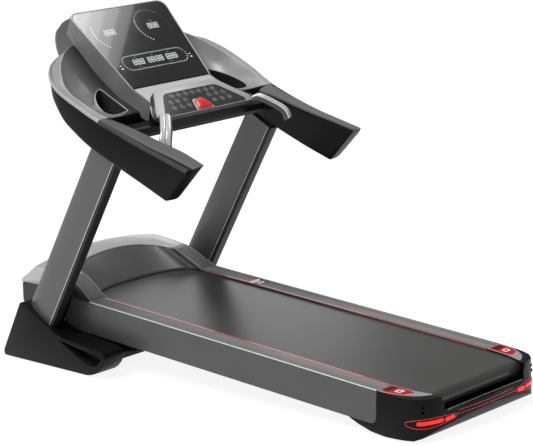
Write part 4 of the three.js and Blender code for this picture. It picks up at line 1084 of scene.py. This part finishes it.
# ---- uprights and shoes
UNDER_ARM = (450, 812, 0.53)
SHOE = [
    (1134, 4), (1139, 22), (1024, 228), (1017, 231), (835, 131), (700, 119), (590, 109),
    (567, 100), (560, 84),
    (573, 52), (606, 20), (652, 4),
]
SHOE_SOFT = [8, 12, 8, 6, 120, 120, 60, 14, 14, 40, 40, 40]
SCOOP_WIDE = [(566, 84), (600, 92), (700, 102), (812, 120), (760, 92), (700, 64), (640, 42), (606, 44)]
SCOOP_NARROW = [(600, 78), (616, 84), (700, 92), (770, 104), (740, 88), (694, 70), (640, 54), (616, 56)]
SCOOP_DEPTH = 34
WEB = [
    (526, 86), (560, 81), (590, 74), (620, 61), (650, 42), (676, 22), (700, 10), (940, 10),
    (940, 136), (860, 125), (700, 111), (600, 106), (530, 101),
]
WEB_X0, WEB_X1 = 302, 316
WEB_SOFT = [6, 30, 60, 60, 60, 60, 14, 4, 4, 20, 20, 20, 6]


def upright_outline(inset, count=28):
    half, middle = (UPRIGHT_X1 - UPRIGHT_X0) / 2 - inset, (UPRIGHT_X1 + UPRIGHT_X0) / 2
    shoulder = 90.0
    nose = UPRIGHT_DEPTH - shoulder - inset
    back = TRIM_DEPTH + 0.3 + inset
    turns = [math.pi * i / count for i in range(count + 1)]
    return [(middle + half, back), (middle + half, 55)] + [
        (middle + half * math.cos(a), shoulder + nose * math.sin(a)) for a in turns] + [
        (middle - half, 55), (middle - half, back)]


def rear_y(z):
    return 867 - LEAN * (z - 159)


def leaning(side, outline, foot_z, lift):
    """The foot and head of a leaning column, whose head follows the arm's underside."""
    arm_y, arm_z, rise = UNDER_ARM
    foot, head = [], []
    for x, depth in outline:
        foot.append(place(side * x, rear_y(foot_z) + depth, foot_z))
        top = (arm_z + lift + rise * (rear_y(0) + depth - arm_y)) / (1 + rise * LEAN)
        head.append(place(side * x, rear_y(top) + depth, top))
    return [foot, head]


def uprights(name, side):
    loft(f"{name}_column", leaning(side, upright_outline(0), 42.3, 4), "upright_paint",
         f"{name}_upright", bevel=1.2, angle=50)
    corners = [(UPRIGHT_X0, 0), (UPRIGHT_X1, 0), (UPRIGHT_X1, TRIM_DEPTH), (UPRIGHT_X0, TRIM_DEPTH)]
    trim = rounded(corners, [4, 4, 0.6, 0.6], 4)
    loft(f"{name}_column_trim", leaning(side, trim, 120, 4), "trim_black", f"{name}_upright_trim", angle=40)
    for label, x in (("outer", UPRIGHT_X1), ("inner", UPRIGHT_X0)):
        highlight = [(x + u, TRIM_DEPTH + v) for u, v in ((-0.9, 0.1), (0.9, 0.1), (0.9, 2.4), (-0.9, 2.4))]
        loft(f"{name}_{label}_line", leaning(side, highlight, 150, 3), "thin_silver", bevel=0.4)


def side_view(side):
    """A placing function for outlines drawn as (y, z), set at a distance off the middle."""
    return lambda y, z, x: place(side * x, y, z)


def shoe(name, side):
    """The floor shoe: a rounded black cover with a scooped hollow under its rear ledge."""
    spot = side_view(side)
    thing = slab(f"{name}_shoe_cover", rounded(SHOE, SHOE_SOFT, 5), SHOE_X0, SHOE_X1, spot,
                 "black_plastic", f"{name}_shoe", bevel=7, segments=4, angle=50)
    carve(thing, cutting_shape(levels(rounded(SCOOP_NARROW, 10, 3), spot, SHOE_X1 - SCOOP_DEPTH)
                               + levels(rounded(SCOOP_WIDE, 10, 3), spot, SHOE_X1 + 2)))
    carve(thing, cutting_shape(leaning(side, upright_outline(-0.8, 20), 60, 40)))
    soften(thing, 1.6)


def shoe_web(name, side):
    """The dark wall on the shoe's inner side, which carries its curve on under the deck."""
    slab(f"{name}_shoe_web", rounded(WEB, WEB_SOFT), WEB_X0, WEB_X1, side_view(side),
         "black_plastic", bevel=2)


def shoe_screws(name, side):
    for index, (y, z) in enumerate(((1009, 95), (720, 22), (810, 128))):
        slab(f"{name}_shoe_screw_{index}", disc(y, z, 5.5, 18), SHOE_X1 - 1, SHOE_X1 + 0.8,
             side_view(side), "frame_steel", bevel=0.6)


# ---- deck
BELT_HALF = 268.0
ROLLER_RADIUS, ROLLER_Z = 27.5, -37.3
ROLLER_REAR, ROLLER_FRONT = -793.0, 850.0
# A rail's decals: name, outline, corner radius, bottom, top, look, edge rounding.
DECALS = (
    ("decal", [(265, -668), (329, -668), (330, -690), (326, -711), (319, -734), (309, -755),
               (268, -770), (261, -745)], 5, 0.02, 0.4, "decal_red", 0.15),
    ("decal_block", [(272, -673), (318, -673), (318, -696), (272, -700)], 0, 0.3, 0.6, "deep_red", 0.1),
    # The decal's white mark glows a little: painted light.
    ("decal_mark", [(280, -712), (309, -712), (304, -736), (275, -736)], 5, 0.3, 0.7, "white_mark", 0.1),
    ("decal_core", [(287, -719), (301, -719), (298, -729), (284, -729)], 0, 0.5, 0.95,
     "black_plastic", 0.1),
)


def belt_loop(offset, steps=36):
    """The belt's path round its rollers, at a distance outside them."""
    reach = ROLLER_RADIUS + offset
    points = []
    for y, start in ((ROLLER_REAR, math.pi / 2), (ROLLER_FRONT, -math.pi / 2)):
        for i in range(steps + 1):
            angle = start + math.pi * i / steps
            points.append((y + reach * math.cos(angle), ROLLER_Z + reach * math.sin(angle)))
    return points


def belt():
    rings = [[on_deck(x, *p) for x, p in ((-BELT_HALF, o), (BELT_HALF, o), (BELT_HALF, i), (-BELT_HALF, i))]
             for o, i in zip(belt_loop(2.8), belt_loop(0.3))]
    loft("belt_loop", rings + rings[:1], "belt_black", "running_belt", caps=False, body=DECK, angle=40)


def rail_strip(name, side, x0, x1, front, low, high, look, bevel):
    """A thin strip laid along a foot rail."""
    outline = mirrored(side, [(x0, RAIL_REAR), (x1, RAIL_REAR), (x1, front), (x0, front)])
    slab(name, outline, low, high, on_deck, look, body=DECK, bevel=bevel)


def deck_sides(name, side):
    refined(f"{name}_side_panel", 1.2, f"{name}_side_skin")
    refined(f"{name}_foot_rail", 0.5, f"{name}_rail_profile")
    rail_strip(f"{name}_red_stripe", side, RAIL_INNER, RAIL_INNER + 6, RAIL_FRONT, -0.2, 0.35,
               "red_line", 0.1)
    for index, x in enumerate((308, 316, 324)):
        rail_strip(f"{name}_rail_rib_{index}", side, x, x + 1.6, RAIL_FRONT - 11, -0.2, 0.3, "rib_grey", 0.1)
    rail_strip(f"{name}_rail_edge", side, RAIL_OUTER - 4.1, RAIL_OUTER, RAIL_FRONT, -2.6, -0.2,
               "thin_silver", 0.6)


def label_plate(name, side):
    refined(f"{name}_label_plate", 0.6, f"{name}_end_plate")
    for title, corners, radius, low, high, look, bevel in DECALS:
        outline = mirrored(side, corners)
        if radius:
            outline = rounded(outline, radius, 3)
        slab(f"{name}_{title}", outline, low, high, on_deck, look, body=DECK, bevel=bevel)


def side_patch():
    """A small two-tone reminder patch on the right rail's inner edge."""
    left = [(262, 498), (322, 496), (302, 470), (262, 470)]
    slab("patch_orange", left, -0.1, 0.5, on_deck, "orange_film", body=DECK, bevel=0.1)
    right = [(262, 469), (302, 469), (322, 494), (330, 492), (318, 440), (262, 440)]
    slab("patch_dark", right, -0.1, 0.5, on_deck, "black_plastic", body=DECK, bevel=0.1)
    # The patch's white bars glow a little: painted light.
    for i in range(3):
        outline = [(x + i * 13, y) for x, y in ((270, 446), (277, 446), (281, 463), (274, 463))]
        slab(f"patch_bar_{i}", outline, 0.4, 0.7, on_deck, "white_mark", body=DECK,
             slot="black_plastic", bevel=0.1)


# ---- rear cover details
PLAN = [
    (338, -640), (338, -700), (336, -738), (330, -773), (318, -803), (296, -827), (262, -843), (222, -852),
    (169, -858), (100, -864), (0, -868),
]
NOSE = [(-868, 64), (-866, 62), (-846, 36), (-822, 15), (-800, 7)]
PLAN_FLANK = 330
STITCHES = 24
OUTLINE_POINTS = 36


def cover_plan():
    half = list(catmull(PLAN, 6))
    return half + [(-x, y) for x, y in reversed(half[:-1])]


def cover_strip(name, stations, proud, look, node=None, closed=False):
    """A thin band on the rear cover; each station is (share of the plan, height, half width)."""
    plan = cover_plan()
    total = len(plan) - 1
    heights, noses = [-row[1] for row in NOSE], [row[0] for row in NOSE]
    rings = []
    for s, z, wide in stations:
        f = min(max(s, 0), 1) * total
        i = min(int(f), total - 1)
        a, b = np.array(plan[i]), np.array(plan[i + 1])
        x, y = a + (b - a) * (f - i)
        along = towards(a, b)
        out = np.array([along[1], -along[0]])
        if abs(x) >= PLAN_FLANK:
            out = np.array([math.copysign(1, x), 0])
        elif out[1] > 0:
            out = -out
        y += max(0.0, np.interp(-z, heights, noses) - y)
        rings.append([place(x + out[0] * push, y + out[1] * push, z + dz)
                      for dz, push in ((-wide, -1.5), (-wide, proud), (wide, proud), (wide, -1.5))])
    loft(name, rings + rings[:1] if closed else rings, look, node, caps=not closed, body=DECK,
         bevel=0.3, angle=50)


def plan_share(x, y):
    plan = cover_plan()
    best = min(range(len(plan)), key=lambda i: (plan[i][0] - x) ** 2 + (plan[i][1] - y) ** 2)
    return best / (len(plan) - 1)


def tail_lights(name, side):
    start, gap, end = [plan_share(side * x, y) for x, y in ((316, -806), (222, -852), (172, -858))]
    for label, s0, s1, node in (("long", start, gap, f"{name}_tail_light"), ("short", gap, end, None)):
        pad = math.copysign(0.004, s1 - s0)
        stations = [(s0 + pad + (s1 - s0 - 2 * pad) * i / 12, 67 + 1.5 * i / 12, 6.5 if 0 < i < 12 else 4.5)
                    for i in range(13)]
        cover_strip(f"{name}_lamp_{label}", stations, 3.2, "red_lamp", node)
    s0, s1 = plan_share(side * 329, -775), plan_share(side * 160, -859)
    stations = []
    for i in range(OUTLINE_POINTS):
        angle = 2 * math.pi * i / OUTLINE_POINTS
        u = 0.5 - 0.5 * math.cos(angle)
        height = math.sin(angle)
        lift = 12 * height if height > 0 else 24 * height * (1 - 0.35 * u)
        stations.append((s0 + (s1 - s0) * u, 68 + lift + 3 * u, 0.9))
    cover_strip(f"{name}_lamp_outline", stations, 0.8, "red_line", closed=True)


def adjusters(name, side):
    """Two near-black discs on the rear cover, one over the other, painted as the shade inside two holes."""
    x, y = min(cover_plan(), key=lambda p: (p[0] - side * 296) ** 2 + (p[1] + 827) ** 2)
    for index, z in enumerate((104, 122)):
        slab(f"{name}_adjuster_{index}", disc(x, z, 6.5 - index, 16), y - 0.8, y + 8,
             lambda u, v, depth: place(u, depth, v), "hole_black", body=DECK, bevel=0.5)


def rear_cover():
    housing = refined("rear_cover", 3.0, "rear_housing", 4)
    opening = [[place(x * half, y, z) for x, y in ((-1, -900), (1, -900), (1, front), (-1, front))]
               for half, front, z in ((207, -846, 98), (241, -830, 165))]
    carve(housing, cutting_shape(opening))
    soften(housing, 2.5)
    s0, s1 = plan_share(160, -859), plan_share(-160, -859)
    step = (s1 - s0) / STITCHES
    for i in range(STITCHES):
        ends = [(s0 + step * (i + share), 72, 1.5) for share in (0.2, 0.72)]
        cover_strip(f"stitch_{i}", ends, 0.8, "red_line")
    seam = [(s0 + (s1 - s0) * (0.04 + 0.92 * i / 20), 84, 0.8) for i in range(21)]
    cover_strip("upper_seam", seam, 0.5, "red_line")
    sill = [(-205, -856), (205, -856), (205, -850), (-205, -850)]
    slab("rear_sill", sill, 96, 98.5, place, "sill_grey", body=DECK, bevel=0.8)


# ---- motor hood
RIDGE_HALF = 240.0
CREST_HALF = 305.0
WEDGE_Y = 746.0
FLANK_X = 334
FLANK_SPLIT = 16
RIDGE_MARKS = np.linspace(-239, 239, 49)


def ridge(x):
    """The line where the dark fascia meets the silver top, as y and z."""
    t = min(abs(x) / RIDGE_HALF, 1.0)
    return 877 + 108 * math.sqrt(1 - t ** 4), 320 + 33 * (1 - t * t)


def wedge_path(w):
    """Up the wedge beside the fascia; w runs from its inner to its outer edge."""
    return [(257 + 77 * w, WEDGE_Y, 250), (250 + 73 * w, 795, 276), (245 + 73 * w, 836, 299),
            (RIDGE_HALF + 70 * w, 877 + 13 * w, 320)]


def hood_line(x):
    """From the ridge over the crest to the nose, at a distance from the middle."""
    far = abs(x)
    w = max(0.0, (far - RIDGE_HALF) / (CREST_HALF - RIDGE_HALF))
    y, z = ridge(min(far, RIDGE_HALF))
    start = (far + 5 * w, y + 13 * w, z)
    t = far / HOOD_HALF
    crest = 374 - 40 * t * t
    middle = (far + 2 * w, start[1] + (1060 - start[1]) * 0.45, z + (crest - z) * 0.62)
    return [start, middle, (far, 1060, crest), (far, 1098, crest - 20), (far, 1120, 324 - 24 * t),
            (far, 1136, 297 - 6 * t), (far, NOSE_Y - 1, SEAM_Z + 1)]


def hood_top():
    grid = []
    for i in range(-40, 41):
        x = CREST_HALF * i / 40
        grid.append(on_side(math.copysign(1, x), catmull(hood_line(x), 6)))
    shell("hood_top", grid, "hood_silver", "motor_hood", DECK)


def hood_fascia():
    """The dark face between the wedges; its foot is an arch over the belt."""
    grid = []
    for i in range(-32, 33):
        share = math.sin(math.pi / 2 * i / 32)
        low_y = WEDGE_Y + 107 * (1 - abs(share) ** 2.5) ** 0.4
        low = np.array([262 * share, low_y, DECK_Z + math.tan(DECK_SLOPE) * low_y - 5])
        x_top = (RIDGE_HALF + 3) * share
        top = np.array([x_top, *ridge(x_top)])
        grid.append(on_side(1, [low + (top - low) * j / 16 for j in range(17)]))
    shell("hood_face", grid, "fascia_grey", "hood_fascia", DECK)
    y_and_z = [ridge(x) for x in RIDGE_MARKS]
    highlight = [np.array([x, y - 1, z + 1]) for x, (y, z) in zip(RIDGE_MARKS, y_and_z)]
    bead("ridge_line", highlight, 1.2, 1.2, "arm_top_grey", DECK)


def hood_wedge(name, side):
    """The wedge where the hood comes down onto a foot rail; the light strips along its inner, outer and
    bottom edges are painted highlights.
    """
    grid = [on_side(side, catmull(wedge_path(i / 8), 5)) for i in range(9)]
    shell(f"{name}_hood_wedge", grid, "wedge_grey", body=DECK)
    # Light-grey beads on the inner and outer edges and a strip at the foot: painted highlights of the
    # wedge's edges.
    for label, share in (("inner", 0), ("outer", 1)):
        points = [(p + np.array([0, -0.8, 1.2])) * np.array([side, 1, 1])
                  for p in catmull(wedge_path(share), 5)]
        bead(f"{name}_wedge_{label}_line", points, 1.1, 1.1, "arm_top_grey", DECK)
    foot = [(257, WEDGE_Y + 3), (FLANK_X, WEDGE_Y + 3), (FLANK_X, WEDGE_Y - 1.5), (257, WEDGE_Y - 1.5)]
    slab(f"{name}_wedge_foot_highlight", mirrored(side, foot), 247, 251.5, place, "arm_top_grey", body=DECK, bevel=0.8)


def hood_flank(name, side):
    """The steep side of the hood below its wedge and shoulder."""
    edge = np.concatenate([catmull(wedge_path(1), 5)[:-1], catmull(hood_line(CREST_HALF), 6)])
    grid = []
    for x, y, z in edge:
        foot = min(np.interp(y, (WEDGE_Y, 846, 880), (248, 254, SEAM_Z)), z - 0.5)
        row = [(x + (FLANK_X - x) * out, y, z - (z - foot) * down)
               for out, down in ((0, 0), (0.45, 0.08), (0.85, 0.3), (1, 0.6), (1, 1))]
        grid.append(on_side(side, row))
    shell(f"{name}_flank_rear", grid[:FLANK_SPLIT + 1], "trim_black", body=DECK)
    shell(f"{name}_flank_front", grid[FLANK_SPLIT:], "hood_silver", body=DECK)


# ---- assembly
PAIRED_PARTS = (
    arm_body, grip_cushion, grip_lip, front_lip, rim_band, crest_line, bowl, drink_pocket,
    pocket_bridge, pulse_grip, uprights, shoe, shoe_web, shoe_screws, deck_sides, label_plate,
    hood_wedge, hood_flank, tail_lights, adjusters,
)
SINGLE_PARTS = (
    console_wall, console_shell, glass_and_trim, stadium, key_plate, key_film, safety_key, belt,
    side_patch, rear_cover, hood_top, hood_fascia,
)
for part_side, part_sign in SIDES:
    for make in PAIRED_PARTS:
        make(part_side, part_sign)
    refined(f"{part_side}_transport_wheel", 1.5)
    refined(f"{part_side}_rear_foot", 1.5)
for make in SINGLE_PARTS:
    make()
gauge("left_gauge", 0.25)
gauge("right_gauge", 0.735)
refined("console_lower", 3.0, "console_belly")
refined("motor_tray", 2.0)
